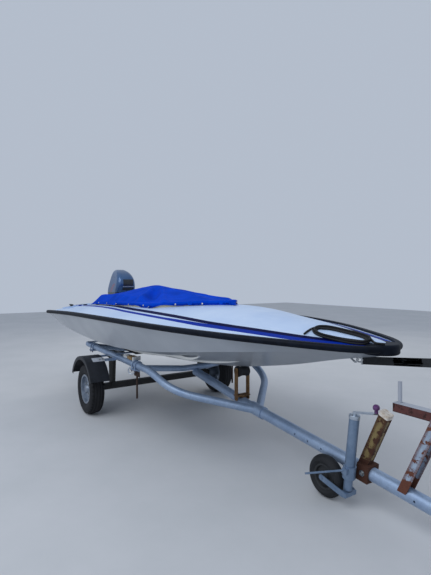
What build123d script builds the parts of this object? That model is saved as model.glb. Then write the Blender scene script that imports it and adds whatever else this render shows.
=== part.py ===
"""Small outboard speedboat under a canvas cockpit cover, parked on its own road trailer.

Millimetres. X forward, Y to port, Z up from the ground. The origin is on the ground, midway
between the stern and the tow coupling, on the centre line.
"""
from build123d import *
from math import atan2, cos, degrees, radians, sin, sqrt, tan
import os

os.makedirs("parts", exist_ok=True)

# Driving places along the trailer
axle_x = -1081.1
seat_gap = 0.3

# Boat
stern_x = axle_x - 1500
boat_length = 4420
bow_x = stern_x + boat_length
half_beam_limit = 1100

# Sheer line, where hull and deck mouldings meet: heights at the stern, amidships and the bow
sheer_stern_z = 950
sheer_mid_x = stern_x + 2300
sheer_mid_z = 1008
sheer_bow_z = 968


def sheer_z(x):
    """Height of the sheer line, a parabola through its three driving heights."""
    x0, x1, x2 = stern_x, sheer_mid_x, bow_x
    stern_share = sheer_stern_z * (x - x1) * (x - x2) / ((x0 - x1) * (x0 - x2))
    mid_share = sheer_mid_z * (x - x0) * (x - x2) / ((x1 - x0) * (x1 - x2))
    bow_share = sheer_bow_z * (x - x0) * (x - x1) / ((x2 - x0) * (x2 - x1))
    return stern_share + mid_share + bow_share


# Body sections. Columns: station forward of the stern, half-breadth at the sheer,
# chine half-breadth and height, keel height, deck shoulder half-breadth and height, crown height
body_table = [
    (-60, 861, 692, 792, 640, 535, 1008, 1038),
    (700, 866, 686, 733, 579, 531, 1052, 1074),
    (1400, 868, 676, 708, 565, 533, 1080, 1104),
    (2050, 855, 655, 718, 568, 520, 1096, 1126),
    (2650, 806, 597, 764, 596, 472, 1101, 1143),
    (3150, 724, 498, 822, 660, 392, 1084, 1132),
    (3560, 604, 372, 868, 738, 295, 1056, 1094),
    (3900, 458, 245, 905, 818, 210, 1028, 1060),
    (4160, 320, 140, 927, 878, 145, 1004, 1028),
    (4340, 192, 74, 941, 915, 85, 987, 1002),
    (4416, 50, 19, 949, 942, 21, 973, 975),
]
SHEER_Y, CHINE_Y, CHINE_Z, KEEL_Z, SHOULDER_Y, SHOULDER_Z, CROWN_Z = range(1, 8)


def body_value(x, column):
    """One column of the body table at x, straight between its stations."""
    station = x - stern_x
    for low, high in zip(body_table, body_table[1:]):
        if station <= high[0]:
            break
    share = (station - low[0]) / (high[0] - low[0])
    return low[column] + (high[column] - low[column]) * share


# Motor well and notch
board_aft_x = axle_x - 1040
board_thick = 40
board_top_z = 950
well_half = 250
well_front_x = axle_x - 540
well_floor_z = 850

# Stern rake: the after edge of the mouldings slopes forward going down
rake_top = (stern_x, 930)
rake_low = (stern_x + 320, 640)

# Spray strakes. Columns: share of the half-bottom from keel to chine, tip station, width, depth
strake_table = [
    (0.36, 3430, 44, 20),
    (0.74, 3010, 50, 22),
]
strake_aft_station = 420
strake_steps = 8

# Deck ribs on the two after wings. Column: station of each rib
rib_stations = (70, 170, 290)
rib_width = 34
rib_height = 12
rib_inner_y = 330
rib_outer_y = 690

# Rub rail
rail_height = 40
rail_proud = 20
rail_deep = 26

# The whole moulded body, keel to crown
with BuildPart() as boat_body:
    for station, sheer_y, chine_y, chine_z, keel_z, shoulder_y, shoulder_z, crown_z in body_table:
        x = stern_x + station
        with BuildSketch(Plane(origin=(x, 0, 0), x_dir=(0, 1, 0), z_dir=(1, 0, 0))):
            with BuildLine():
                Polyline((shoulder_y, shoulder_z), (sheer_y, sheer_z(x)), (chine_y, chine_z), (0, keel_z),
                         (-chine_y, chine_z), (-sheer_y, sheer_z(x)), (-shoulder_y, shoulder_z))
                ThreePointArc((-shoulder_y, shoulder_z), (0, crown_z), (shoulder_y, shoulder_z))
            make_face()
    loft()

# Block below the sheer line, and the raked slice cut off the stern
with BuildPart() as below_sheer:
    with BuildSketch(Plane.XZ):
        with BuildLine():
            aft_end = (stern_x - 200, sheer_z(stern_x - 200))
            fore_end = (bow_x + 100, sheer_z(bow_x + 100))
            ThreePointArc(aft_end, (sheer_mid_x, sheer_z(sheer_mid_x)), fore_end)
            Polyline(fore_end, (fore_end[0], 0), (aft_end[0], 0), aft_end)
        make_face()
    extrude(amount=half_beam_limit, both=True)

with BuildPart() as stern_slice:
    with BuildSketch(Plane.XZ):
        with BuildLine():
            Polyline(rake_top, rake_low, (rake_low[0], 300), (stern_x - 300, 300),
                     (stern_x - 300, 1300), (stern_x, 1300), rake_top)
        make_face()
    extrude(amount=half_beam_limit, both=True)


def strake(side, share, tip_station, width, depth):
    """One spray strake: a wedge on the bottom that fades out at its forward tip."""
    with BuildPart() as wedge:
        for step in range(strake_steps + 1):
            along = step / strake_steps
            x = stern_x + strake_aft_station + (tip_station - strake_aft_station) * along
            rise = body_value(x, CHINE_Z) - body_value(x, KEEL_Z)
            y = share * body_value(x, CHINE_Y)
            slope = rise / body_value(x, CHINE_Y)
            z = body_value(x, KEEL_Z) + share * rise
            fade = 1 if along < 0.8 else 1 - 0.85 * ((along - 0.8) / 0.2) ** 2
            w = width * fade
            d = depth * fade
            with BuildSketch(Plane(origin=(x, 0, 0), x_dir=(0, 1, 0), z_dir=(1, 0, 0))):
                with BuildLine():
                    Polyline((side * (y - w), z - slope * w + 8), (side * (y - w * 0.3), z - d),
                             (side * y, z - d * 0.8), (side * y, z + 8), close=True)
                make_face()
        loft()
    return wedge.part


with BuildPart() as hull:
    add(boat_body.part)
    add(below_sheer.part, mode=Mode.INTERSECT)
    for share, tip_station, width, depth in strake_table:
        for side in (-1, 1):
            add(strake(side, share, tip_station, width, depth))
    add(stern_slice.part, mode=Mode.SUBTRACT)
    notch_length = board_aft_x - stern_x + 300
    with Locations((board_aft_x - notch_length / 2, 0, 800)):
        Box(notch_length, 2 * well_half, 1000, mode=Mode.SUBTRACT)
    well_start = board_aft_x + board_thick
    with Locations(((well_start + well_front_x) / 2, 0, well_floor_z)):
        Box(well_front_x - well_start, 2 * well_half, 400,
            align=(Align.CENTER, Align.CENTER, Align.MIN), mode=Mode.SUBTRACT)
    with Locations((board_aft_x + board_thick / 2, 0, board_top_z)):
        Box(board_thick, 2 * well_half, 200,
            align=(Align.CENTER, Align.CENTER, Align.MIN), mode=Mode.SUBTRACT)

with BuildPart() as deck:
    add(boat_body.part)
    add(below_sheer.part, mode=Mode.SUBTRACT)
    add(stern_slice.part, mode=Mode.SUBTRACT)
    with Locations((board_aft_x + board_thick - 500, 0, 1000)):
        Box(1000, 2 * well_half, 400, mode=Mode.SUBTRACT)
    with Locations(((well_start + well_front_x) / 2, 0, 1000)):
        Box(well_front_x - well_start, 2 * well_half, 400, mode=Mode.SUBTRACT)
deck_skin = deck.part

with BuildPart() as ribs:
    for station in rib_stations:
        for side in (-1, 1):
            with Locations((stern_x + station, side * (rib_inner_y + rib_outer_y) / 2, 1000)):
                Box(rib_width, rib_outer_y - rib_inner_y, 300)
    add(Pos(0, 0, rib_height) * deck_skin, mode=Mode.INTERSECT)

with BuildPart() as deck:
    add(deck_skin)
    add(ribs.part)

# The closed mouldings end at a bulkhead forward of the splash well. Aft of it stand the two
# quarters, the well's floor and the transom board, each a block of its own
bulkhead = Plane(origin=(well_front_x, 0, 0), z_dir=(1, 0, 0))
with BuildPart() as hull_fore:
    add(hull.part)
    split(bisect_by=bulkhead, keep=Keep.TOP)
with BuildPart() as hull_quarters:
    add(hull.part)
    split(bisect_by=bulkhead, keep=Keep.BOTTOM)
    with Locations((well_front_x, 0, well_floor_z)):
        Box(boat_length, 2 * well_half, boat_length, align=(Align.MAX, Align.CENTER, Align.CENTER),
            mode=Mode.SUBTRACT)
with BuildPart() as well_floor:
    add(hull.part)
    with Locations((well_start, 0, well_floor_z)):
        Box(well_front_x - well_start, 2 * well_half, boat_length,
            align=(Align.MIN, Align.CENTER, Align.CENTER), mode=Mode.INTERSECT)
with BuildPart() as transom_board:
    add(hull.part)
    with Locations((board_aft_x, 0, well_floor_z)):
        Box(board_thick, 2 * well_half, boat_length,
            align=(Align.MIN, Align.CENTER, Align.CENTER), mode=Mode.INTERSECT)
hull_blocks = []
for block in (hull_fore, hull_quarters, well_floor, transom_board):
    hull_blocks += block.part.solids()

with BuildPart() as deck_fore:
    add(deck.part)
    split(bisect_by=bulkhead, keep=Keep.TOP)
with BuildPart() as deck_wings:
    add(deck.part)
    split(bisect_by=bulkhead, keep=Keep.BOTTOM)
deck_blocks = [*deck_fore.part.solids(), *deck_wings.part.solids()]
print("hull blocks:", len(hull_blocks), "deck blocks:", len(deck_blocks))

# Rub rail, one D-section rubber for each side
rail_stations = (5, 700, 1400, 2050, 2650, 3150, 3560, 3900, 4160, 4330, 4408)


def rail_direction(x):
    """Heading of the sheer edge seen from above, as a unit vector."""
    step = 12
    change = body_value(x + step, SHEER_Y) - body_value(x - step, SHEER_Y)
    length = sqrt(change * change + 4 * step * step)
    return 2 * step / length, change / length


def rub_rail(side):
    with BuildPart() as rail:
        for station in rail_stations:
            x = stern_x + station
            along_x, along_y = rail_direction(x)
            section = Plane(origin=(x, side * body_value(x, SHEER_Y), sheer_z(x)),
                            x_dir=(-along_y, side * along_x, 0), z_dir=(along_x, side * along_y, 0))
            with BuildSketch(section):
                with BuildLine():
                    half = rail_height / 2
                    Polyline((2, half), (-rail_deep, half), (-rail_deep, -half), (2, -half))
                    ThreePointArc((2, -half), (rail_proud, 0), (2, half))
                make_face()
        loft()
        add(hull.part, mode=Mode.SUBTRACT)
        add(deck.part, mode=Mode.SUBTRACT)
    return rail.part


rub_rails = {"rub_rail_right": rub_rail(-1), "rub_rail_left": rub_rail(1)}

# Nose cap over the meeting ends of the rub rails
cap_length = 110
cap_proud = 34
cap_height = 62
cap_half = 110

with BuildPart() as nose_cap:
    with BuildSketch(Plane.XY.offset(sheer_z(bow_x) - 4)):
        with Locations((bow_x + cap_proud - cap_length, 0)):
            Ellipse(cap_length, cap_half)
        with Locations((bow_x - cap_length, 0)):
            Rectangle(cap_length, 400, align=(Align.MAX, Align.CENTER), mode=Mode.SUBTRACT)
    extrude(amount=cap_height / 2, both=True)
    fillet(nose_cap.edges().filter_by(GeomType.ELLIPSE), 14)
    add(boat_body.part, mode=Mode.SUBTRACT)
    for rail in rub_rails.values():
        add(rail, mode=Mode.SUBTRACT)

# Cockpit: the edge of its coaming seen from above. Columns: x forward of the axle, half-breadth
cockpit_outline = [(1405, 8), (1050, 285), (800, 480), (0, 505), (-790, 460), (-790, 335), (-510, 335)]
coaming_width = 40
coaming_rise = 34


def cockpit_face(inset):
    """Plan of the cockpit edge, pulled in by inset."""
    with BuildSketch() as plan:
        with BuildLine():
            port = [(axle_x + x, y) for x, y in cockpit_outline]
            Polyline(*port, *[(x, -y) for x, y in reversed(port)], close=True)
        make_face()
        if inset:
            offset(amount=-inset)
    return plan.sketch


with BuildPart() as coaming:
    with BuildSketch(Plane.XY.offset(900)):
        add(cockpit_face(0))
        add(cockpit_face(coaming_width), mode=Mode.SUBTRACT)
    extrude(amount=400)
    add(Pos(0, 0, coaming_rise) * deck_skin, mode=Mode.INTERSECT)
    add(deck_skin, mode=Mode.SUBTRACT)

# Cover stations. Columns: x forward of the axle, half-width, edge height, haunch height, ridge height
cover_table = [
    (-800, 476, 1070, 1165, 1235),
    (-450, 506, 1084, 1192, 1262),
    (-60, 522, 1094, 1205, 1311),
    (350, 520, 1104, 1182, 1278),
    (800, 492, 1112, 1172, 1233),
    (1080, 292, 1138, 1172, 1207),
    (1430, 14, 1146, 1150, 1157),
]
cover_haunch = 0.78
cover_skirt = 120
cover_well_front = -500
cover_well_half = 330

with BuildPart() as cover:
    for x, edge_y, edge_z, haunch_z, ridge_z in cover_table:
        with BuildSketch(Plane(origin=(axle_x + x, 0, 0), x_dir=(0, 1, 0), z_dir=(1, 0, 0))):
            with BuildLine():
                haunch_y = cover_haunch * edge_y
                Polyline((edge_y, edge_z - cover_skirt), (edge_y, edge_z), (haunch_y, haunch_z), (0, ridge_z),
                         (-haunch_y, haunch_z), (-edge_y, edge_z), (-edge_y, edge_z - cover_skirt), close=True)
            make_face()
    loft(ruled=True)
    with Locations((axle_x + cover_well_front, 0, 1100)):
        Box(600, 2 * cover_well_half, 800, align=(Align.MAX, Align.CENTER, Align.CENTER), mode=Mode.SUBTRACT)
    add(below_sheer.part, mode=Mode.SUBTRACT)
    add(deck_skin, mode=Mode.SUBTRACT)
    add(Pos(0, 0, seat_gap) * deck_skin, mode=Mode.SUBTRACT)
    add(Pos(0, 0, seat_gap) * coaming.part, mode=Mode.SUBTRACT)

# Stern cleats, one on each quarter. Place: x, half-breadth and deck height under the foot
cleat_x = stern_x + 150
cleat_y = 600
cleat_length = 130

with BuildPart() as cleats:
    for side in (-1, 1):
        with BuildSketch(Plane.XZ.offset(-side * cleat_y)):
            with Locations((cleat_x, 985)):
                RectangleRounded(64, 96, 8)
            with Locations((cleat_x, 1036)):
                RectangleRounded(cleat_length, 16, 7)
        extrude(amount=9, both=True)
    add(boat_body.part, mode=Mode.SUBTRACT)
    add(deck.part, mode=Mode.SUBTRACT)

# Bow eye on the stem and the winch strap's hook
eye_x = axle_x + 2655
eye_z = 862
eye_bar = 6
eye_reach = 34

with BuildPart() as bow_eye:
    with BuildLine():
        FilletPolyline((eye_x - 90, 0, eye_z + 60), (eye_x + 20, 0, eye_z - 10),
                       (eye_x + 45, 0, eye_z + 30), (eye_x - 20, 0, eye_z + 90), radius=14)
    with BuildSketch(Plane(origin=(eye_x - 90, 0, eye_z + 60), z_dir=(110, 0, -70))):
        Circle(eye_bar)
    sweep()
    add(hull.part, mode=Mode.SUBTRACT)

# Outboard motor, upright on the transom board. The steering axis is vertical
motor_x = axle_x - 1115
tilt_x = axle_x - 1020
tilt_z = 984
tilt_pin_radius = 12
clamp_inner = 62
clamp_plate = 26
clamp_screw_high = 905
steer_pin_radius = 14
swivel_radius = 30
running_gap = 0.05
moving_gap = 6
swivel_low_z = 815
swivel_top_z = 1050
pan_base_z = 1072
cowl_base_z = 1130
plate_z = 555
shaft_z = 395
skeg_z = 262

# Two clamp jaws over the board, joined by the tilt pin
with BuildPart() as motor_clamp:
    for side in (-1, 1):
        with BuildSketch(Plane.XZ.offset(-side * (clamp_inner + clamp_plate / 2))):
            with BuildLine():
                Polyline((board_aft_x, board_top_z), (board_aft_x, 760), (board_aft_x - 14, 760),
                         (board_aft_x - 18, 970), (tilt_x - 10, tilt_z + 24), (tilt_x + 16, tilt_z + 20),
                         (well_start + 22, 950), (well_start + 22, 890), (well_start + 8, 890),
                         (well_start, 890), (well_start, board_top_z), close=True)
            make_face()
        extrude(amount=clamp_plate / 2, both=True)
        screw_y = side * (clamp_inner + clamp_plate / 2)
        with Locations(Plane(origin=(well_start + 8, screw_y, clamp_screw_high), z_dir=(1, 0, 0))):
            Cylinder(9, 62, align=(Align.CENTER, Align.CENTER, Align.MIN))
        with Locations((well_start + 66, screw_y, clamp_screw_high)):
            Box(8, 12, 70)
    with Locations((tilt_x, 0, tilt_z)):
        Cylinder(tilt_pin_radius, 2 * (clamp_inner + clamp_plate) + 24, rotation=(90, 0, 0))

# Swivel bracket: a barrel on the tilt pin and a barrel round the steering pin
with BuildPart() as swivel_bracket:
    with Locations((motor_x, 0, (swivel_low_z + swivel_top_z) / 2)):
        Cylinder(swivel_radius, swivel_top_z - swivel_low_z)
    with Locations((tilt_x, 0, tilt_z)):
        Cylinder(24, 2 * (clamp_inner - moving_gap), rotation=(90, 0, 0))
    with BuildSketch(Plane.XZ):
        with BuildLine():
            Polyline((motor_x, swivel_top_z - 20), (tilt_x + 5, tilt_z + 23), (tilt_x - 10, tilt_z - 21),
                     (board_aft_x - moving_gap - 4, 940), (board_aft_x - moving_gap - 4, 900),
                     (motor_x + 10, 850), (motor_x, 850), close=True)
        make_face()
    extrude(amount=34, both=True)
    with Locations((tilt_x, 0, tilt_z)):
        Cylinder(tilt_pin_radius + running_gap, 300, rotation=(90, 0, 0), mode=Mode.SUBTRACT)
    with Locations((motor_x, 0, 900)):
        Cylinder(steer_pin_radius + running_gap, 600, mode=Mode.SUBTRACT)

# Cowl sections. Columns: height, front and back from the steering axis, half-width, corner radius
cowl_table = [
    (cowl_base_z, 160, -192, 128, 60),
    (1250, 175, -200, 134, 62),
    (1390, 162, -150, 112, 56),
    (1470, 50, -136, 78, 44),
    (1498, -35, -118, 44, 30),
]
powerhead_size = (210, 150, 210)
powerhead_aft = 15
powerhead_room = 10

with BuildPart() as motor_cowl:
    for z, front, back, half, corner in cowl_table:
        with BuildSketch(Plane.XY.offset(z)):
            with Locations((motor_x + (front + back) / 2, 0)):
                RectangleRounded(front - back, 2 * half, corner)
    loft()
    with Locations((motor_x - powerhead_aft, 0, cowl_base_z)):
        Box(powerhead_size[0] + 2 * powerhead_room, powerhead_size[1] + 2 * powerhead_room,
            powerhead_size[2] + powerhead_room, align=(Align.CENTER, Align.CENTER, Align.MIN),
            mode=Mode.SUBTRACT)

with BuildPart() as powerhead:
    with Locations((motor_x - powerhead_aft, 0, cowl_base_z)):
        Box(*powerhead_size, align=(Align.CENTER, Align.CENTER, Align.MIN))

# Pan under the cowl. Columns: height, front, back, half-width, corner radius
pan_table = [
    (pan_base_z, 70, -160, 70, 40),
    (1100, 130, -180, 108, 55),
    (cowl_base_z, 160, -192, 128, 60),
]
with BuildPart() as cowl_pan:
    for z, front, back, half, corner in pan_table:
        with BuildSketch(Plane.XY.offset(z)):
            with Locations((motor_x + (front + back) / 2, 0)):
                RectangleRounded(front - back, 2 * half, corner)
    loft(ruled=True)

# Leg sections. Columns: height, front, back, half-width
leg_table = [
    (pan_base_z, -40, -165, 62),
    (900, -44, -160, 44),
    (700, -36, -150, 34),
    (plate_z, -20, -160, 34),
]
mount_low_z = swivel_low_z - moving_gap
mount_high_z = swivel_top_z + moving_gap

with BuildPart() as motor_leg:
    for z, front, back, half in leg_table:
        with BuildSketch(Plane.XY.offset(z)):
            with Locations((motor_x + (front + back) / 2, 0)):
                RectangleRounded(front - back, 2 * half, half * 0.9)
    loft(ruled=True)
    for low, high in ((mount_low_z - 60, mount_low_z), (mount_high_z, pan_base_z)):
        with BuildSketch(Plane.XY.offset(low)):
            with Locations((motor_x - 45, 0)):
                SlotOverall(150, 60)
        extrude(amount=high - low)
    with Locations((motor_x, 0, (mount_low_z + mount_high_z) / 2)):
        Cylinder(steer_pin_radius, mount_high_z - mount_low_z)

# Gearcase: plate, strut, torpedo, skeg and propeller shaft
torpedo_radius = 42
torpedo_front = motor_x + 60
torpedo_back = motor_x - 185
shaft_radius = 12
prop_hub_radius = 38
prop_hub_length = 86
prop_radius = 145
blade_count = 3
blade_thick = 6
blade_pitch = 25
anti_vent_thick = 9
strut_half_length = 92

with BuildPart() as gearcase:
    with BuildSketch(Plane.XY.offset(plate_z)):
        with Locations((motor_x - 120, 0)):
            SlotOverall(330, 150)
    extrude(amount=-anti_vent_thick)
    with BuildSketch(Plane.XY.offset(shaft_z)):
        with Locations((motor_x - 75, 0)):
            Ellipse(strut_half_length, 20)
    with BuildSketch(Plane.XY.offset(plate_z - anti_vent_thick)):
        with Locations((motor_x - 85, 0)):
            Ellipse(strut_half_length, 32)
    loft()
    with BuildSketch(Plane.XZ):
        with BuildLine():
            Polyline((torpedo_back, shaft_z), (torpedo_back, shaft_z + torpedo_radius - 4),
                     (torpedo_front - 100, shaft_z + torpedo_radius))
            ThreePointArc((torpedo_front - 100, shaft_z + torpedo_radius),
                          (torpedo_front - 32, shaft_z + torpedo_radius * 0.7), (torpedo_front, shaft_z))
            Line((torpedo_front, shaft_z), (torpedo_back, shaft_z))
        make_face()
    revolve(axis=Axis((0, 0, shaft_z), (1, 0, 0)))
    with BuildSketch(Plane.XZ):
        with BuildLine():
            Polyline((motor_x + 5, shaft_z), (motor_x - 80, skeg_z), (motor_x - 140, skeg_z),
                     (motor_x - 160, shaft_z), close=True)
        make_face()
    extrude(amount=5, both=True)
    with Locations(Plane(origin=(torpedo_back, 0, shaft_z), z_dir=(-1, 0, 0))):
        Cylinder(shaft_radius, moving_gap + prop_hub_length + 14,
                 align=(Align.CENTER, Align.CENTER, Align.MIN))

prop_front = torpedo_back - moving_gap
with BuildPart() as propeller:
    with BuildSketch(Plane.XZ):
        with BuildLine():
            Polyline((prop_front, shaft_z), (prop_front, shaft_z + prop_hub_radius),
                     (prop_front - prop_hub_length, shaft_z + prop_hub_radius - 9),
                     (prop_front - prop_hub_length, shaft_z), close=True)
        make_face()
    revolve(axis=Axis((0, 0, shaft_z), (1, 0, 0)))
    for blade in range(blade_count):
        turn = radians(360 / blade_count * blade)
        lean = radians(blade_pitch)
        outward = Vector(0, -sin(turn), cos(turn))
        across = Vector(sin(lean), cos(lean) * cos(turn), cos(lean) * sin(turn))
        place = Plane(origin=(prop_front - prop_hub_length / 2, 0, shaft_z), x_dir=across,
                      z_dir=across.cross(outward))
        with BuildSketch(place):
            with Locations((0, (prop_radius + prop_hub_radius - 6) / 2)):
                Ellipse(58, (prop_radius - prop_hub_radius + 6) / 2)
        extrude(amount=blade_thick / 2, both=True)
    with Locations(Plane(origin=(prop_front + 10, 0, shaft_z), z_dir=(-1, 0, 0))):
        Cylinder(shaft_radius + running_gap, 200, align=(Align.CENTER, Align.CENTER, Align.MIN),
                 mode=Mode.SUBTRACT)

# Trailer frame. Side tube path columns: x forward of the axle, half-breadth, height of the centre
side_tube_radius = 32
side_tube_path = [(-800, 550, 590), (920, 550, 560), (1250, 500, 440), (1745, 0, 326)]
side_tube_bend = 550
drawbar_radius = 41
drawbar_start = Vector(axle_x + 1700, 0, 331)
drawbar_end = Vector(axle_x + 3450, 0, 142)
sleeve_radius = 48
sleeve_length = 150
spine_radius = 38
spine_aft = Vector(axle_x + 790, 0, 470)
cross_tube_radius = 28
cross_tube_bend = 200
cross_dip_half = 140


def tube(points, radius, bend):
    """Round bar or tube through points, its corners rounded to bend."""
    start = Vector(points[1]) - Vector(points[0])
    with BuildPart() as piece:
        with BuildLine():
            if len(points) == 2:
                Line(*points)
            else:
                FilletPolyline(*points, radius=bend)
        with BuildSketch(Plane(origin=points[0], z_dir=start)):
            Circle(radius)
        sweep()
    return piece.part


drawbar_way = (drawbar_end - drawbar_start).normalized()


def drawbar_z(x):
    """Height of the drawbar's centre line at x."""
    share = (x - drawbar_start.X) / (drawbar_end.X - drawbar_start.X)
    return drawbar_start.Z + (drawbar_end.Z - drawbar_start.Z) * share


# Cross holes through the drawbar, by place forward of the axle
drawbar_holes = (2190, 2310, 2430, 3080)
drawbar_hole_radius = 6.5
with BuildPart() as drawbar_tube:
    add(tube([drawbar_start, drawbar_end], drawbar_radius, 0))
    for x in drawbar_holes:
        with Locations((axle_x + x, 0, drawbar_z(axle_x + x))):
            Cylinder(drawbar_hole_radius, 3 * drawbar_radius, rotation=(90, 0, 0), mode=Mode.SUBTRACT)
drawbar = drawbar_tube.part

with BuildPart() as vee_sleeve:
    with Locations(Plane(origin=drawbar_start - drawbar_way * 40, z_dir=drawbar_way)):
        Cylinder(sleeve_radius, sleeve_length, align=(Align.CENTER, Align.CENTER, Align.MIN))
    add(drawbar, mode=Mode.SUBTRACT)

sleeve_aft = drawbar_start - drawbar_way * 40
with BuildPart() as spine_tube:
    add(tube([sleeve_aft, spine_aft], spine_radius, 0))
    add(vee_sleeve.part, mode=Mode.SUBTRACT)
    add(drawbar, mode=Mode.SUBTRACT)
spine = spine_tube.part


def side_tube_z(x):
    """Centre height of the straight after part of the side tubes."""
    (x0, y0, z0), (x1, y1, z1) = side_tube_path[:2]
    return z0 + (z1 - z0) * (x - axle_x - x0) / (x1 - x0)


side_tubes = {}
for side, name in ((-1, "right"), (1, "left")):
    points = [(axle_x + x, side * y, z) for x, y, z in side_tube_path]
    bare = tube(points, side_tube_radius, side_tube_bend)
    with BuildPart() as side_tube:
        add(bare)
        with Locations(Plane(origin=sleeve_aft, z_dir=drawbar_way)):
            Cylinder(sleeve_radius, 400, align=(Align.CENTER, Align.CENTER, Align.MIN), mode=Mode.SUBTRACT)
        add(spine, mode=Mode.SUBTRACT)
        with Locations((axle_x + 1745, -side * 200, 330)):
            Box(900, 400, 400, mode=Mode.SUBTRACT)
    side_tubes[name] = side_tube.part
side_tube_y = side_tube_path[0][1]


def cross_tube(x, dip):
    """Cross member that dips under the keel and butts on both side tubes."""
    z = side_tube_z(axle_x + x)
    path = [(axle_x + x, -side_tube_y, z), (axle_x + x, -cross_dip_half, z - dip),
            (axle_x + x, cross_dip_half, z - dip), (axle_x + x, side_tube_y, z)]
    with BuildPart() as piece:
        add(tube(path, cross_tube_radius, cross_tube_bend))
        for side_piece in side_tubes.values():
            add(side_piece, mode=Mode.SUBTRACT)
        add(spine, mode=Mode.SUBTRACT)
    return piece.part


cross_front = cross_tube(790, 48)
cross_rear = cross_tube(-640, 75)

# Running gear
track_half = 780
wheel_z = 250
tyre_radius = 250
tyre_half = 72
bead_radius = 133
rim_half = 53
spindle_radius = 17.5
beam_half = 30
beam_reach = 640
hanger_half_x = 45
hanger_top_half_x = 70
hanger_half_y = 16
seal_radius = 34
seal_thick = 10

with BuildPart() as axle_beam:
    with Locations((axle_x, 0, wheel_z)):
        Box(2 * beam_half, 2 * beam_reach, 2 * beam_half)
        Cylinder(spindle_radius, 2 * (track_half + 34), rotation=(90, 0, 0))
    for side in (-1, 1):
        with Locations((axle_x, side * (beam_reach + seal_thick / 2), wheel_z)):
            Cylinder(seal_radius, seal_thick, rotation=(90, 0, 0))
        with BuildSketch(Plane.XZ.offset(-side * side_tube_y)):
            with BuildLine():
                top = side_tube_z(axle_x)
                Polyline((axle_x - hanger_half_x, wheel_z), (axle_x + hanger_half_x, wheel_z),
                         (axle_x + hanger_top_half_x, top), (axle_x - hanger_top_half_x, top), close=True)
            make_face()
        extrude(amount=hanger_half_y, both=True)
    for side_piece in side_tubes.values():
        add(side_piece, mode=Mode.SUBTRACT)


def wheel_plane(side):
    """Local x runs outboard along the spindle, local y runs up."""
    return Plane(origin=(axle_x, side * track_half, wheel_z), x_dir=(0, side, 0), z_dir=(side, 0, 0))


def tyre(side):
    with BuildPart() as piece:
        with BuildSketch(wheel_plane(side)):
            with BuildLine():
                Polyline((-rim_half + seat_gap, bead_radius), (-rim_half + seat_gap, 147), (-62, 163))
                ThreePointArc((-62, 163), (-tyre_half, 195), (-66, 226))
                Line((-66, 226), (-54, 243))
                ThreePointArc((-54, 243), (0, tyre_radius), (54, 243))
                Line((54, 243), (66, 226))
                ThreePointArc((66, 226), (tyre_half, 195), (62, 163))
                Polyline((62, 163), (rim_half - seat_gap, 147), (rim_half - seat_gap, bead_radius),
                         (-rim_half + seat_gap, bead_radius))
            make_face()
        revolve(axis=Axis((axle_x, 0, wheel_z), (0, 1, 0)))
    return piece.part


hub_radius = 52
hub_inner = beam_reach + seal_thick + moving_gap - track_half
rim_hole_count = 8
rim_hole_circle = 82
rim_hole_radius = 9


def rim(side):
    with BuildPart() as piece:
        with BuildSketch(wheel_plane(side)):
            with BuildLine():
                Polyline((-rim_half - 4, 146), (-rim_half, 146), (-rim_half, bead_radius - seat_gap),
                         (rim_half, bead_radius - seat_gap), (rim_half, 146), (rim_half + 4, 146),
                         (rim_half + 4, bead_radius - 4), (30, 126), (24, 104), (26, 60), (32, 44),
                         (40, 40), (52, 32), (54, 0), (hub_inner, 0), (hub_inner, hub_radius),
                         (18, hub_radius), (16, 104), (21, 121), (-rim_half - 4, bead_radius - 6), close=True)
            make_face()
        revolve(axis=Axis((axle_x, 0, wheel_z), (0, 1, 0)))
        with Locations(Plane(origin=(axle_x, side * (track_half + hub_inner), wheel_z), z_dir=(0, side, 0))):
            Cylinder(spindle_radius + running_gap, 34 + moving_gap - hub_inner,
                     align=(Align.CENTER, Align.CENTER, Align.MIN), mode=Mode.SUBTRACT)
        with Locations(Plane(origin=(axle_x, side * (track_half + 40), wheel_z), z_dir=(0, side, 0))):
            with PolarLocations(rim_hole_circle, rim_hole_count):
                Cylinder(rim_hole_radius, 100, mode=Mode.SUBTRACT)
    return piece.part


# Mudguards
guard_radius = 330
guard_thick = 5
guard_inner_y = 690
guard_outer_y = 882
guard_lip = 30
guard_end_rise = 22


def mudguard(side):
    """Arched sheet over a wheel. Both its ends stop guard_end_rise degrees above the spindle."""
    rise = radians(guard_end_rise)
    start = Plane(origin=(axle_x, 0, wheel_z), x_dir=(0, 1, 0), z_dir=(sin(rise), 0, -cos(rise)))
    with BuildPart() as piece:
        with BuildSketch(start):
            with BuildLine():
                Polyline((side * guard_inner_y, guard_radius),
                         (side * guard_inner_y, guard_radius + guard_thick),
                         (side * guard_outer_y, guard_radius + guard_thick),
                         (side * guard_outer_y, guard_radius - guard_lip),
                         (side * (guard_outer_y - guard_thick), guard_radius - guard_lip),
                         (side * (guard_outer_y - guard_thick), guard_radius), close=True)
            make_face()
        revolve(axis=Axis((axle_x, 0, wheel_z), (0, -1, 0)), revolution_arc=180 - 2 * guard_end_rise)
    return piece.part


# Mudguard stays, two perforated flat bars a side between the side tube and the guard
stay_places = (-130, 130)
stay_holes = (603, 633, 663)
stay_width = 40
stay_deep = 22
stay_lap = 60
stay_hole_radius = 6


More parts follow.
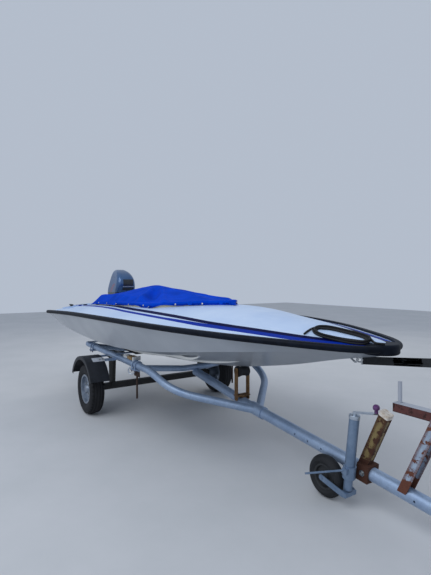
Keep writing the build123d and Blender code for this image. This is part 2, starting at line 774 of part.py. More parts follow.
def guard_stays(side, name):
    with BuildPart() as piece:
        for x in stay_places:
            reach = sqrt(guard_radius ** 2 - x ** 2)
            middle_y = side * (side_tube_y + guard_inner_y + stay_lap) / 2
            with Locations((axle_x + x, middle_y, wheel_z + reach - 4)):
                Box(stay_width, guard_inner_y + stay_lap - side_tube_y, stay_deep)
        with Locations((axle_x, 0, wheel_z)):
            Cylinder(guard_radius - seat_gap, 2000, rotation=(90, 0, 0), mode=Mode.INTERSECT)
        for x in stay_places:
            for y in stay_holes:
                with Locations((axle_x + x, side * y, wheel_z + guard_radius)):
                    Cylinder(stay_hole_radius, guard_radius, mode=Mode.SUBTRACT)
        add(side_tubes[name], mode=Mode.SUBTRACT)
    return piece.part


# Bunks under the hull and the arms that carry them
bunk_inner = 335
bunk_outer = 425
bunk_aft = -850
bunk_fore = 330
arm_thick = 8
arm_width = 60
arm_lap = 45
bunk_block_z = 760
arm_places = (-700, 180)
tube_slope = (side_tube_path[1][2] - side_tube_path[0][2]) / (side_tube_path[1][0] - side_tube_path[0][0])

with BuildPart() as bunk_arms:
    for side in (-1, 1):
        for x in arm_places:
            z = side_tube_z(axle_x + x) + side_tube_radius
            with Locations(Plane(origin=(axle_x + x, side * (bunk_inner + side_tube_y + arm_lap) / 2, z),
                                 x_dir=(1, 0, tube_slope), z_dir=(-tube_slope, 0, 1))):
                Box(arm_width, side_tube_y + arm_lap - bunk_inner, arm_thick,
                    align=(Align.CENTER, Align.CENTER, Align.MIN))
    for side_piece in side_tubes.values():
        add(side_piece, mode=Mode.SUBTRACT)

bunks = {}
for side, name in ((-1, "right"), (1, "left")):
    with BuildPart() as bunk:
        with BuildSketch(Plane.XZ.offset(-side * (bunk_inner + bunk_outer) / 2)):
            with BuildLine():
                low_z = [side_tube_z(axle_x + x) + side_tube_radius + arm_thick for x in (bunk_aft, bunk_fore)]
                Polyline((axle_x + bunk_aft, low_z[0]), (axle_x + bunk_fore, low_z[1]),
                         (axle_x + bunk_fore, bunk_block_z), (axle_x + bunk_aft, bunk_block_z), close=True)
            make_face()
        extrude(amount=(bunk_outer - bunk_inner) / 2, both=True)
        add(Pos(0, 0, -seat_gap) * hull.part, mode=Mode.SUBTRACT)
        add(bunk_arms.part, mode=Mode.SUBTRACT)
    bunks[name] = bunk.part

# Keel roller between two uprights on the spine
roller_x = axle_x + 1530
roller_radius = 45
roller_waist = 38
roller_half = 51
roller_pin = 8
upright_inner = 56
upright_thick = 8
upright_width = 40
upright_lap = 30
base_length = 60
base_thick = 10
roller_drop = 4.5
roller_z = body_value(roller_x, KEEL_Z) - roller_waist - roller_drop
spine_way = (sleeve_aft - spine_aft).normalized()
spine_top_z = spine_aft.Z + (roller_x - spine_aft.X) * spine_way.Z / spine_way.X + spine_radius

with BuildPart() as roller_uprights:
    for side in (-1, 1):
        with BuildSketch(Plane.XZ.offset(-side * (upright_inner + upright_thick / 2))):
            with Locations((roller_x, (roller_z + spine_top_z) / 2)):
                RectangleRounded(upright_width, roller_z - spine_top_z + 2 * upright_lap, 12)
        extrude(amount=upright_thick / 2, both=True)
    with Locations((roller_x, 0, spine_top_z + base_thick)):
        Box(base_length, 2 * (upright_inner + upright_thick), base_thick)
    with Locations((roller_x, 0, spine_top_z)):
        Box(base_length, upright_width, base_thick + 4)
    with Locations((roller_x, 0, roller_z)):
        Cylinder(roller_pin, 2 * (upright_inner + upright_thick) + 16, rotation=(90, 0, 0))
    add(spine, mode=Mode.SUBTRACT)

with BuildPart() as keel_roller:
    with BuildSketch(Plane(origin=(roller_x, 0, roller_z), x_dir=(0, 1, 0), z_dir=(1, 0, 0))):
        with BuildLine():
            Polyline((-roller_half, roller_pin + running_gap), (-roller_half, roller_radius),
                     (-roller_half + 12, roller_radius))
            ThreePointArc((-roller_half + 12, roller_radius), (0, roller_waist),
                          (roller_half - 12, roller_radius))
            Polyline((roller_half - 12, roller_radius), (roller_half, roller_radius),
                     (roller_half, roller_pin + running_gap), (-roller_half, roller_pin + running_gap))
        make_face()
    revolve(axis=Axis((roller_x, 0, roller_z), (0, 1, 0)))

# Jockey wheel, leaning with the drawbar. Distances along its stem are measured up from the stem's foot
jockey_foot = Vector(axle_x + 2688, -98, 78)
jockey_lean = radians(6.5)
jockey_up = Vector(sin(jockey_lean), 0, cos(jockey_lean))
stem_outer = 30
stem_inner = 26
stem_low = 96
stem_length = 385
stem_cap = 8
inner_length = 240
collar_height = 26
spigot_radius = 12
jockey_radius = 130
jockey_half = 38
jockey_axle = Vector(axle_x + 2528, jockey_foot.Y, jockey_radius)
fork_inner = 44
fork_thick = 5
jockey_pin = 10


def stem_plane(distance):
    """Plane across the stem at a distance up it, local x forward."""
    return Plane(origin=jockey_foot + jockey_up * distance, z_dir=jockey_up,
                 x_dir=(cos(jockey_lean), 0, -sin(jockey_lean)))


with BuildPart() as jockey_stem:
    with BuildSketch(stem_plane(stem_low)):
        Circle(stem_outer)
        Circle(stem_inner + running_gap, mode=Mode.SUBTRACT)
    extrude(amount=stem_length)
    with BuildSketch(stem_plane(stem_low + stem_length)):
        Circle(stem_outer)
    extrude(amount=stem_cap)

with BuildPart() as jockey_inner:
    with BuildSketch(stem_plane(collar_height + moving_gap)):
        Circle(stem_inner)
    extrude(amount=inner_length)
    with BuildSketch(stem_plane(2)):
        Circle(spigot_radius)
    extrude(amount=collar_height + moving_gap)

# The fork's two cheeks run from the axle to a boss round the spigot
fork_head = jockey_foot + Vector(4, 0, 14)
fork_arm = fork_head - jockey_axle
fork_middle = (fork_head + jockey_axle) * 0.5
fork_width = 36
fork_turn = degrees(atan2(fork_arm.Z, fork_arm.X))
with BuildPart() as jockey_fork:
    for side in (-1, 1):
        y = jockey_foot.Y + side * (fork_inner + fork_thick / 2)
        with BuildSketch(Plane.XZ.offset(-y)):
            with Locations((fork_middle.X, fork_middle.Z)):
                SlotCenterToCenter(fork_arm.length, fork_width, rotation=fork_turn)
        extrude(amount=fork_thick / 2, both=True)
    with BuildSketch(stem_plane(0)):
        with Locations((6, 0)):
            Rectangle(42, 2 * (fork_inner + fork_thick))
        Circle(spigot_radius + running_gap, mode=Mode.SUBTRACT)
    extrude(amount=collar_height)
    with Locations(tuple(jockey_axle)):
        Cylinder(jockey_pin, 2 * (fork_inner + fork_thick) + 10, rotation=(90, 0, 0))

jockey_plane = Plane(origin=jockey_axle, x_dir=(0, 1, 0), z_dir=(1, 0, 0))
jockey_rim_radius = 78
with BuildPart() as jockey_tyre:
    with BuildSketch(jockey_plane):
        with BuildLine():
            Polyline((-28, jockey_rim_radius), (-jockey_half, 96))
            ThreePointArc((-jockey_half, 96), (0, jockey_radius), (jockey_half, 96))
            Polyline((jockey_half, 96), (28, jockey_rim_radius), (-28, jockey_rim_radius))
        make_face()
    revolve(axis=Axis(jockey_axle, (0, 1, 0)))

with BuildPart() as jockey_rim:
    with BuildSketch(jockey_plane):
        with BuildLine():
            Polyline((-28, jockey_rim_radius - seat_gap), (28, jockey_rim_radius - seat_gap),
                     (26, 66), (12, 60), (12, 34), (jockey_half, 26), (jockey_half, jockey_pin + running_gap),
                     (-jockey_half, jockey_pin + running_gap), (-jockey_half, 26), (-12, 34), (-12, 60),
                     (-26, 66), close=True)
        make_face()
    revolve(axis=Axis(jockey_axle, (0, 1, 0)))

# Clamp that holds the stem to the drawbar, with its lever
clamp_low = 105
clamp_height = 76
clamp_wall = 9
clamp_fit = 0.02
clamp_mouth = 25
clamp_screw_z = 238
lever_radius = 6
lever_root = Vector(jockey_foot.X + 13, jockey_foot.Y - 50, clamp_screw_z)
lever_tip = Vector(axle_x + 2600, -360, clamp_screw_z - 3)
with BuildPart() as jockey_clamp:
    with BuildSketch(stem_plane(clamp_low)):
        Circle(stem_outer + clamp_wall)
        with Locations((-6, 41)):
            Rectangle(36, 42)
        with Locations((-clamp_mouth, 0)):
            Rectangle(50, 200, align=(Align.MAX, Align.CENTER), mode=Mode.SUBTRACT)
        Circle(stem_outer + clamp_fit, mode=Mode.SUBTRACT)
    extrude(amount=clamp_height)
    add(drawbar, mode=Mode.SUBTRACT)
    with Locations(stem_plane(clamp_low + clamp_height * 0.7)):
        with Locations((4, -45)):
            Box(34, 18, 34)
    add(tube([tuple(lever_root), tuple(lever_tip)], lever_radius, 0))

# Crank on top of the stem, its arm turned forward and in over the drawbar
crank_reach = 126
crank_neck = 14
crank_thick = 7
crank_flat = Vector(0.56, 0.83, -0.56 * tan(jockey_lean))
crank_way = crank_flat.normalized()
crank_low = stem_low + stem_length + stem_cap
crank_top = jockey_foot + jockey_up * (crank_low + crank_neck)
with BuildPart() as jockey_crank:
    with BuildSketch(stem_plane(crank_low)):
        Circle(12)
    extrude(amount=crank_neck)
    with BuildSketch(Plane(origin=crank_top, z_dir=jockey_up, x_dir=crank_way)):
        with Locations((crank_reach / 2, 0)):
            SlotCenterToCenter(crank_reach, 24)
    extrude(amount=crank_thick)

# Mushroom knob: its profile, radius and height above the arm
knob_profile = [(0, 0), (11, 0), (11, 22), (19, 27), (21, 38), (18, 48), (10, 55), (0, 57)]
knob_foot = crank_top + crank_way * crank_reach + Vector(0, 0, 2)
with BuildPart() as crank_knob:
    with BuildSketch(Plane(origin=knob_foot, x_dir=(1, 0, 0), z_dir=(0, -1, 0))):
        with BuildLine():
            Polyline(*knob_profile, close=True)
        make_face()
    revolve(axis=Axis(knob_foot, (0, 0, 1)))
    add(jockey_crank.part, mode=Mode.SUBTRACT)

# Saddle, stub post and winch post on the drawbar
post_lean = radians(23.7)
saddle_x = axle_x + 2757
saddle_half = 40
saddle_wall = 10


def leaning_post(x, width_x, width_y, top_z, walls, low_z):
    """Post that leans forward, x where its axis meets low_z."""
    foot = Vector(x, 0, low_z)
    way = Vector(sin(post_lean), 0, cos(post_lean))
    length = (top_z - low_z) / cos(post_lean)
    with BuildPart() as post:
        with BuildSketch(Plane(origin=foot, z_dir=way, x_dir=(cos(post_lean), 0, -sin(post_lean)))):
            Rectangle(width_x, width_y)
            if walls:
                with Locations((walls, 0)):
                    Rectangle(width_x, width_y - 2 * walls, mode=Mode.SUBTRACT)
        extrude(amount=length)
    return post.part


stub_top_z = 575
stub_low_z = 215
stub_low_x = axle_x + 2722
stub_size = (60, 50)
with BuildPart() as stub_post:
    with Locations(Plane(origin=(saddle_x, 0, drawbar_z(saddle_x)), z_dir=drawbar_way, x_dir=(0, 1, 0))):
        Box(2 * (drawbar_radius + saddle_wall), 2 * (drawbar_radius + saddle_wall), 2 * saddle_half)
    add(leaning_post(stub_low_x, *stub_size, stub_top_z, 0, stub_low_z))
    add(drawbar, mode=Mode.SUBTRACT)
stub_x_top = stub_low_x + (stub_top_z - stub_low_z) * tan(post_lean)
pad_thick = 26
with BuildPart() as torn_pad:
    with BuildSketch(Plane(origin=(stub_x_top, 0, stub_top_z), z_dir=(sin(post_lean), 0, cos(post_lean)),
                           x_dir=(cos(post_lean), 0, -sin(post_lean)))):
        RectangleRounded(stub_size[0] + 6, stub_size[1] + 8, 12)
    extrude(amount=pad_thick)

winch_x = axle_x + 3000
winch_low_z = drawbar_z(winch_x)
winch_top_z = 880
winch_post_size = (50, 80)
winch_post_wall = 6
post_block = leaning_post(winch_x, *winch_post_size, winch_top_z, 0, winch_low_z)
with BuildPart() as winch_post:
    add(leaning_post(winch_x, *winch_post_size, winch_top_z, winch_post_wall, winch_low_z))
    add(drawbar, mode=Mode.SUBTRACT)
winch_x_top = winch_x + (winch_top_z - winch_low_z) * tan(post_lean)

# Bow stop arm reaching aft from the winch post, with the bare pin its pad has come off
arm_z = 652
arm_aft_x = axle_x + 2950
arm_root_x = winch_x + (arm_z - winch_low_z) * tan(post_lean)
arm_size = (arm_root_x - arm_aft_x + 10, 56, 50)
arm_wall = 5
stop_pin_radius = 11
stop_pin_length = 118
with BuildPart() as bow_stop_arm:
    with Locations(((arm_aft_x + arm_root_x) / 2, 0, arm_z)):
        Box(*arm_size)
    with Locations(((arm_aft_x + arm_root_x) / 2, 0, arm_z - arm_wall)):
        Box(arm_size[0], arm_size[1] - 2 * arm_wall, arm_size[2], mode=Mode.SUBTRACT)
    with Locations((arm_aft_x + 2 * stop_pin_radius, 0, arm_z + arm_size[2] / 2)):
        Cylinder(stop_pin_radius, stop_pin_length, align=(Align.CENTER, Align.CENTER, Align.MIN))
    add(post_block, mode=Mode.SUBTRACT)
    with Locations((arm_root_x + 5, 0, arm_z)):
        Box(arm_size[0], 2 * arm_size[1], 2 * arm_size[2],
            align=(Align.MIN, Align.CENTER, Align.CENTER), mode=Mode.SUBTRACT)

# Winch: side plates bolted to the post's flanks, axle and handle
winch_centre = Vector(winch_x_top + 55, 0, winch_top_z + 40)
winch_plate = 4
winch_axle_radius = 11
winch_axle_length = 150
handle_y = -72
handle_reach = 150
with BuildPart() as winch_frame:
    for side in (-1, 1):
        with BuildSketch(Plane.XZ.offset(-side * (winch_post_size[1] + winch_plate) / 2)):
            with BuildLine():
                Polyline((winch_x_top - 45, winch_top_z - 50), (winch_x_top + 20, winch_top_z - 60),
                         (winch_centre.X + 38, winch_centre.Z - 20),
                         (winch_centre.X + 34, winch_centre.Z + 46),
                         (winch_centre.X - 40, winch_centre.Z + 46), close=True)
            make_face()
        extrude(amount=winch_plate / 2, both=True)
    with Locations(tuple(winch_centre)):
        Cylinder(winch_axle_radius, winch_axle_length, rotation=(90, 0, 0))
    with Locations((winch_centre.X, handle_y, winch_centre.Z - 60)):
        Box(2 * winch_axle_radius, 7, handle_reach)
    with Locations((winch_centre.X, handle_y - 23, winch_centre.Z - 125)):
        Cylinder(13, 60, rotation=(90, 0, 0))

strap_width = 45
strap_thick = 3
drum_radius = 34
with BuildPart() as winch_strap:
    strap_start = Vector(eye_x + 52, 0, eye_z + 12)
    with Locations(tuple(winch_centre)):
        Cylinder(drum_radius, strap_width, rotation=(90, 0, 0))
    top = Vector(winch_centre.X - 4, 0, winch_centre.Z + drum_radius - strap_thick / 2 - 0.5)
    way = top - strap_start
    with BuildSketch(Plane(origin=strap_start, z_dir=way, x_dir=(0, 1, 0))):
        Rectangle(strap_width, strap_thick)
    extrude(amount=way.length)
    add(winch_frame.part, mode=Mode.SUBTRACT)
    add(bow_eye.part, mode=Mode.SUBTRACT)

# Coupling head on the drawbar's nose
socket_radius = 25.3
socket_depth = 45
head_length = 230
head_width = 86
head_height = 66
head_low = 32
collar_lap = 90
collar_length = 110
head_up = Vector(-drawbar_way.Z, 0, drawbar_way.X)
socket_top = drawbar_end + drawbar_way * (head_length - 95)
with BuildPart() as coupling_head:
    with Locations(Plane(origin=drawbar_end - drawbar_way * collar_lap, z_dir=drawbar_way, x_dir=(0, 1, 0))):
        Cylinder(drawbar_radius + 7, collar_length, align=(Align.CENTER, Align.CENTER, Align.MIN))
    with BuildSketch(Plane(origin=drawbar_end, x_dir=drawbar_way, z_dir=head_up).offset(-head_low)):
        with Locations((head_length / 2 - 20, 0)):
            SlotOverall(head_length, head_width)
    extrude(amount=head_height)
    add(drawbar, mode=Mode.SUBTRACT)
    with Locations(Plane(origin=socket_top, z_dir=head_up)):
        Cylinder(socket_radius, socket_depth, align=(Align.CENTER, Align.CENTER, Align.MAX),
                 mode=Mode.SUBTRACT)

# Locking handle, hinged in the top of the head. Profile columns: forward of the drawbar's end, above it
handle_profile = [(10, 33), (70, 45), (50, 83), (-80, 99), (-82, 83), (30, 63)]
with BuildPart() as coupling_handle:
    with BuildSketch(Plane.XZ):
        with BuildLine():
            Polyline(*[(drawbar_end.X + x, drawbar_end.Z + z) for x, z in handle_profile], close=True)
        make_face()
    extrude(amount=14, both=True)
    add(coupling_head.part, mode=Mode.SUBTRACT)
    add(drawbar, mode=Mode.SUBTRACT)

# U-bolt clamps round the side tubes, each with a plate below. The forward ones carry a bracket
# and a drop rod. Columns: place forward of the axle, whether a rod hangs from it
clamp_table = [(640, True), (-560, False)]
u_bolt_radius = 6
u_bolt_spread = 32
u_bolt_tail = 16
under_plate = (110, 96, 8)
web_thick = 10
web_height = 70
drop_rod_radius = 9
drop_rod_low_z = 255

with BuildPart() as tube_clamps:
    for side in (-1, 1):
        for x, has_rod in clamp_table:
            middle = Vector(axle_x + x, side * side_tube_y, side_tube_z(axle_x + x))
            ring = side_tube_radius + u_bolt_radius + seat_gap
            plate_top = middle.Z - side_tube_radius - 2
            for along in (-u_bolt_spread, u_bolt_spread):
                with BuildLine():
                    low_z = plate_top - under_plate[2] - u_bolt_tail
                    near = Vector(middle.X + along, middle.Y - ring, middle.Z)
                    far = Vector(middle.X + along, middle.Y + ring, middle.Z)
                    Line(Vector(near.X, near.Y, low_z), near)
                    ThreePointArc(near, middle + Vector(along, 0, ring), far)
                    Line(far, Vector(far.X, far.Y, low_z))
                with BuildSketch(Plane(origin=(near.X, near.Y, low_z), z_dir=(0, 0, 1))):
                    Circle(u_bolt_radius)
                sweep()
            with Locations((middle.X, middle.Y, plate_top)):
                Box(*under_plate, align=(Align.CENTER, Align.CENTER, Align.MAX))
            if has_rod:
                with Locations((middle.X, middle.Y, plate_top)):
                    Box(under_plate[0], web_thick, web_height, align=(Align.CENTER, Align.CENTER, Align.MAX))
                with Locations((middle.X, middle.Y, drop_rod_low_z)):
                    Cylinder(drop_rod_radius, plate_top - drop_rod_low_z - web_height / 2,
                             align=(Align.CENTER, Align.CENTER, Align.MIN))
    for side_piece in side_tubes.values():
        add(side_piece, mode=Mode.SUBTRACT)

# Mooring rope on the foredeck: a loose flat coil and its free end. Places: x forward of the axle, y
rope_radius = 6.5
rope_lift = -0.5
coil_centre = (2640, -95)
coil_size = (400, 190)
coil_turn = 5
coil_strands = 34
tail_route = [(2458, -120), (2440, -172), (2462, -226)]


def deck_top(x, y):
    """Height of the deck moulding's top at x, y."""
    half = abs(y)
    shoulder_y = body_value(x, SHOULDER_Y)
    shoulder_z = body_value(x, SHOULDER_Z)
    if half < shoulder_y:
        return body_value(x, CROWN_Z) - (body_value(x, CROWN_Z) - shoulder_z) * (half / shoulder_y) ** 2
    share = (half - shoulder_y) / (body_value(x, SHEER_Y) - shoulder_y)
    return shoulder_z + (sheer_z(x) - shoulder_z) * share


with BuildPart() as rope_coil:
    with BuildSketch(Plane.XY.offset(900)):
        with Locations(Location((axle_x + coil_centre[0], coil_centre[1], 0), coil_turn)):
            SlotOverall(*coil_size)
            SlotOverall(coil_size[0] - 2 * coil_strands, coil_size[1] - 2 * coil_strands, mode=Mode.SUBTRACT)
    extrude(amount=300)
    add(Pos(0, 0, 2 * rope_radius) * boat_body.part, mode=Mode.INTERSECT)
    add(Pos(0, 0, seat_gap) * boat_body.part, mode=Mode.SUBTRACT)
    for neighbour in (nose_cap.part, *rub_rails.values()):
        add(neighbour, mode=Mode.SUBTRACT)

tail_points = [(axle_x + x, y, deck_top(axle_x + x, y) + rope_radius + rope_lift) for x, y in tail_route]
tail_runs = []
for low, high in zip(tail_points, tail_points[1:]):
    tail_runs.append(Vector(high) - Vector(low))
tail_turn = radians(tail_runs[0].get_angle(tail_runs[1]))
tail_bend = 0.45 * min(run.length for run in tail_runs) / tan(tail_turn / 2)
print("rope tail bend radius, mm:", round(tail_bend, 2))
with BuildPart() as rope_end:
    add(tube(tail_points, rope_radius, tail_bend))
    add(rope_coil.part, mode=Mode.SUBTRACT)
    add(Pos(0, 0, seat_gap) * boat_body.part, mode=Mode.SUBTRACT)


def export(shape, name):
    """Label a finished piece and write it to its own file."""
    shape.label = name
    export_step(shape, f"parts/{name}.step")


export(Compound(hull_blocks), "hull")
export(Compound(deck_blocks), "deck")
for name, rail in rub_rails.items():
    export(rail, name)
export(nose_cap.part, "nose_cap")
export(coaming.part, "cockpit_coaming")
export(cover.part, "cockpit_cover")
export(cleats.part, "stern_cleats")
export(bow_eye.part, "bow_eye")
export(motor_clamp.part, "motor_clamp")
export(swivel_bracket.part, "motor_swivel_bracket")
export(motor_cowl.part, "motor_cowl")
export(powerhead.part, "motor_powerhead")
export(cowl_pan.part, "motor_cowl_pan")
export(motor_leg.part, "motor_leg")
export(gearcase.part, "motor_gearcase")
export(propeller.part, "propeller")
export(drawbar, "trailer_drawbar")
export(vee_sleeve.part, "trailer_vee_sleeve")
export(spine, "trailer_spine")
for name, piece in side_tubes.items():
    export(piece, f"trailer_side_tube_{name}")
export(cross_front, "trailer_cross_tube_front")
export(cross_rear, "trailer_cross_tube_rear")
export(axle_beam.part, "axle_beam")
for side, name in ((-1, "right"), (1, "left")):
    export(rim(side), f"wheel_rim_{name}")
    export(tyre(side), f"tyre_{name}")
    export(mudguard(side), f"mudguard_{name}")
    export(guard_stays(side, name), f"mudguard_stays_{name}")
    export(bunks[name], f"bunk_{name}")
export(bunk_arms.part, "bunk_arms")
export(roller_uprights.part, "keel_roller_bracket")
export(keel_roller.part, "keel_roller")
export(jockey_stem.part, "jockey_stem")
export(jockey_inner.part, "jockey_inner_tube")
export(jockey_fork.part, "jockey_fork")
export(jockey_tyre.part, "jockey_tyre")
export(jockey_rim.part, "jockey_rim")
export(jockey_clamp.part, "jockey_clamp")
export(jockey_crank.part, "jockey_crank")
export(crank_knob.part, "jockey_knob")
export(stub_post.part, "stub_post")
export(torn_pad.part, "stub_post_pad")
export(winch_post.part, "winch_post")
export(bow_stop_arm.part, "bow_stop_arm")
export(winch_frame.part, "winch_frame")
export(winch_strap.part, "winch_strap")
export(coupling_head.part, "coupling_head")
export(coupling_handle.part, "coupling_handle")
export(tube_clamps.part, "tube_clamps")
export(rope_coil.part, "rope_coil")
export(rope_end.part, "rope_tail")
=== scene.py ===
# %% [markdown]
# A small outboard speedboat on its road trailer, dressed for a still picture.
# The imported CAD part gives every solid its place; this lesson adds cloth, rope, tread,
# fasteners and finishes on top of it, in the same metres and the same frame.

# %% Load the frame
import math

import bmesh
import bpy
from mathutils import Matrix, Vector
from mathutils.bvhtree import BVHTree


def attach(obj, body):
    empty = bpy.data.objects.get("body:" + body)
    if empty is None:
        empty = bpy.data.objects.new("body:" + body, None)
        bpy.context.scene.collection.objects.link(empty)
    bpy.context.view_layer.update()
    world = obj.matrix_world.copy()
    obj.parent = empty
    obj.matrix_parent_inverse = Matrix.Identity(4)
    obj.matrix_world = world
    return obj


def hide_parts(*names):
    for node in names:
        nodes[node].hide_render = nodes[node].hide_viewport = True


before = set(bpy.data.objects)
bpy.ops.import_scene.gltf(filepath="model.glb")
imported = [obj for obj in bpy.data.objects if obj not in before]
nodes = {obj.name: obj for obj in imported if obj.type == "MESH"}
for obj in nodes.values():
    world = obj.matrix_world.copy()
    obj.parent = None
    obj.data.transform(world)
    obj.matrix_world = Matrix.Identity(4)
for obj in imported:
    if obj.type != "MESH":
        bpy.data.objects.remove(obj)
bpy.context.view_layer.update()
BOAT = "boat_and_trailer"
# Lengths are metres. Most places are given by their distance forward of the axle
AXLE_X = -1.0811

# %% [markdown]
# The camera stands 1.36 m above the ground off the starboard bow. Its lens is given by the
# height of the picture, 575 pixels, and a focal length of 432 pixels. A little vertical shift
# keeps the camera level, so upright posts stay upright.

# %% Camera
PICTURE_HEIGHT = 575
FOCAL_PIXELS = 432
SHIFT_PIXELS = -7.5
SENSOR_MM = 36


def put(name, data):
    """Adds an object with its data to the scene."""
    made = bpy.data.objects.new(name, data)
    bpy.context.scene.collection.objects.link(made)
    return made


camera_data = bpy.data.cameras.new("camera")
camera_data.sensor_fit = "VERTICAL"
camera_data.sensor_height = SENSOR_MM
camera_data.lens = FOCAL_PIXELS / PICTURE_HEIGHT * SENSOR_MM
camera_data.shift_y = SHIFT_PIXELS / PICTURE_HEIGHT
camera = put("camera", camera_data)
camera.location = (AXLE_X + 4.392, -2.197, 1.36)
camera.rotation_euler = Vector((-0.829, 0.559, 0)).to_track_quat("-Z", "Y").to_euler()
bpy.context.scene.camera = camera
print("lens:", round(camera_data.lens, 2))

# %% [markdown]
# Open shade is a broad, even light with hardly a shadow. A pale world gives the fill, a very
# large lamp high on the starboard side models the forms softly, and a second one behind
# lifts the far side without showing in the gloss.

# %% Light and floor
WORLD_COLOUR = (0.76, 0.85, 1.0, 1)
WORLD_STRENGTH = 0.60
LAMPS_AIM = Vector((0, 0, 0.6))
FLOOR_HALF = 16
bpy.context.scene.view_settings.view_transform = "Standard"
world = bpy.data.worlds.new("studio")
world.use_nodes = True
bpy.context.scene.world = world
background = world.node_tree.nodes["Background"]
background.inputs["Color"].default_value = WORLD_COLOUR
background.inputs["Strength"].default_value = WORLD_STRENGTH


def soft_lamp(name, place, size, watts, colour, mirrored):
    """A square soft box aimed at the boat. mirrored says whether gloss shows it."""
    lamp_data = bpy.data.lights.new(name, "AREA")
    lamp_data.size = size
    lamp_data.energy = watts
    lamp_data.color = colour
    lamp = put(name, lamp_data)
    lamp.location = place
    lamp.visible_glossy = mirrored
    lamp.rotation_euler = (LAMPS_AIM - Vector(place)).to_track_quat("-Z", "Y").to_euler()
    print("lamp", name, watts, "W")


soft_lamp("sky_box", (1.5, -4.5, 6.0), 6.0, 230, (0.93, 0.96, 1.0), True)
soft_lamp("back_box", (-5.0, 4.5, 4.5), 4.0, 110, (1.0, 0.97, 0.92), False)


def to_object(bm, name):
    """Turns a bmesh into an object in the scene."""
    mesh = bpy.data.meshes.new(name)
    bm.to_mesh(mesh)
    bm.free()
    return put(name, mesh)


bm = bmesh.new()
bmesh.ops.create_grid(bm, x_segments=1, y_segments=1, size=FLOOR_HALF)
floor = to_object(bm, "floor")

# %% [markdown]
# Colours are picked as sRGB hex, as on screen, and turned to the linear values that the
# renderer wants by one function. One more adds a node with its settings and links, so that a
# pattern reads as a short list of nodes.


# %% Colour and node helpers
def linear(code):
    """sRGB hex to linear red, green, blue, alpha."""
    parts = [int(code[i:i + 2], 16) / 255 for i in (0, 2, 4)]
    return tuple(c / 12.92 if c <= 0.04045 else ((c + 0.055) / 1.055) ** 2.4
                 for c in parts) + (1.0,)


def add_node(tree, kind, settings=None):
    """Adds a shader node. settings are its properties and inputs; a socket given is linked."""
    node = tree.nodes.new("ShaderNode" + kind)
    for key, value in (settings or {}).items():
        if isinstance(value, bpy.types.NodeSocket):
            tree.links.new(value, node.inputs[key])
        elif isinstance(key, str) and hasattr(node, key) and key not in node.inputs:
            setattr(node, key, value)
        else:
            node.inputs[key].default_value = value
    return node


print("white is", [round(value, 3) for value in linear("FFFFFF")])

# %% [markdown]
# Hardly any real surface has one tone. The usual finish here has two near tones in patches of
# a real size, gloss that varies with the patches, and a fine grain as relief. The patches'
# colour is handed on, so that stripes, rust or painted shade can be laid over it.


# %% Mottled finish
def mottled(name, colour, other, patch_mm, roughness, metallic=0.0, coat=0.0, grain_mm=1.0,
            bump=0.1, rough_spread=0.1):
    """A finish with patches of a second colour, uneven gloss and a fine surface grain.

    Returns the material, its tree, its shader, its position and its patches' colour."""
    material = bpy.data.materials.new(name)
    material.use_nodes = True
    tree = material.node_tree
    shader = tree.nodes["Principled BSDF"]
    shader.inputs["Metallic"].default_value = metallic
    shader.inputs["Coat Weight"].default_value = coat
    place = add_node(tree, "TexCoord").outputs["Object"]
    patches = add_node(tree, "TexNoise", {
        "Vector": place, "Scale": 1000 / patch_mm, "Detail": 6.0, "Roughness": 0.6}).outputs["Fac"]
    share = add_node(tree, "MapRange", {
        "Value": patches, "From Min": 0.35, "From Max": 0.65}).outputs[0]
    colours = add_node(tree, "Mix", {
        "data_type": "RGBA", 0: share, 6: linear(colour), 7: linear(other)}).outputs[2]
    tree.links.new(colours, shader.inputs["Base Color"])
    gloss = add_node(tree, "MapRange", {
        "Value": patches, "To Min": max(roughness - rough_spread, 0.02),
        "To Max": min(roughness + rough_spread, 1)}).outputs[0]
    tree.links.new(gloss, shader.inputs["Roughness"])
    grain = add_node(tree, "TexNoise", {
        "Vector": place, "Scale": 1000 / grain_mm, "Detail": 3.0}).outputs["Fac"]
    bumps = add_node(tree, "Bump", {"Height": grain, "Strength": bump, "Distance": 0.001})
    tree.links.new(bumps.outputs["Normal"], shader.inputs["Normal"])
    return material, tree, shader, place, colours


def dress(material, *names):
    """Gives CAD nodes one material."""
    for name in names:
        nodes[name].data.materials.clear()
        nodes[name].data.materials.append(material)
    print("finish", material.name, "on", *names)


def dress_plain(names, *finish, **settings):
    """Gives CAD nodes a mottled finish that needs nothing more, and returns it."""
    material = mottled(*finish, **settings)[0]
    dress(material, *names)
    return material


floor_finish = mottled("painted_studio_floor", "C9CACC", "C2C4C6", 900, 0.85, grain_mm=4,
                       bump=0.03)[0]
floor.data.materials.append(floor_finish)
print("floor finished in", floor_finish.name)

# %% [markdown]
# Gelcoat is a thick pigmented polyester skin, glossy when new. Years outdoors leave it a
# little chalky, so the gloss is uneven and the tone varies in patches. Its white is laid down
# a light grey, partly the chalking and partly painted shade for the hull's sides, which face
# the ground. Faces that look down are darkened further as painted shade. The strakes' upright
# outer faces below the chine are painted near white as a highlight, so they read as bright
# lines. The true normal tells the shader which is which.

# %% Gelcoat hull
# The grey base is partly chalking and partly painted shade for the hull's sides.
gelcoat, tree, shader, place, white = mottled(
    "chalked_gelcoat_with_painted_shade", "BDC2C8", "B4B9C0", 420, 0.35, coat=0.1, grain_mm=3, bump=0.02)
CHINE_Z = 0.80
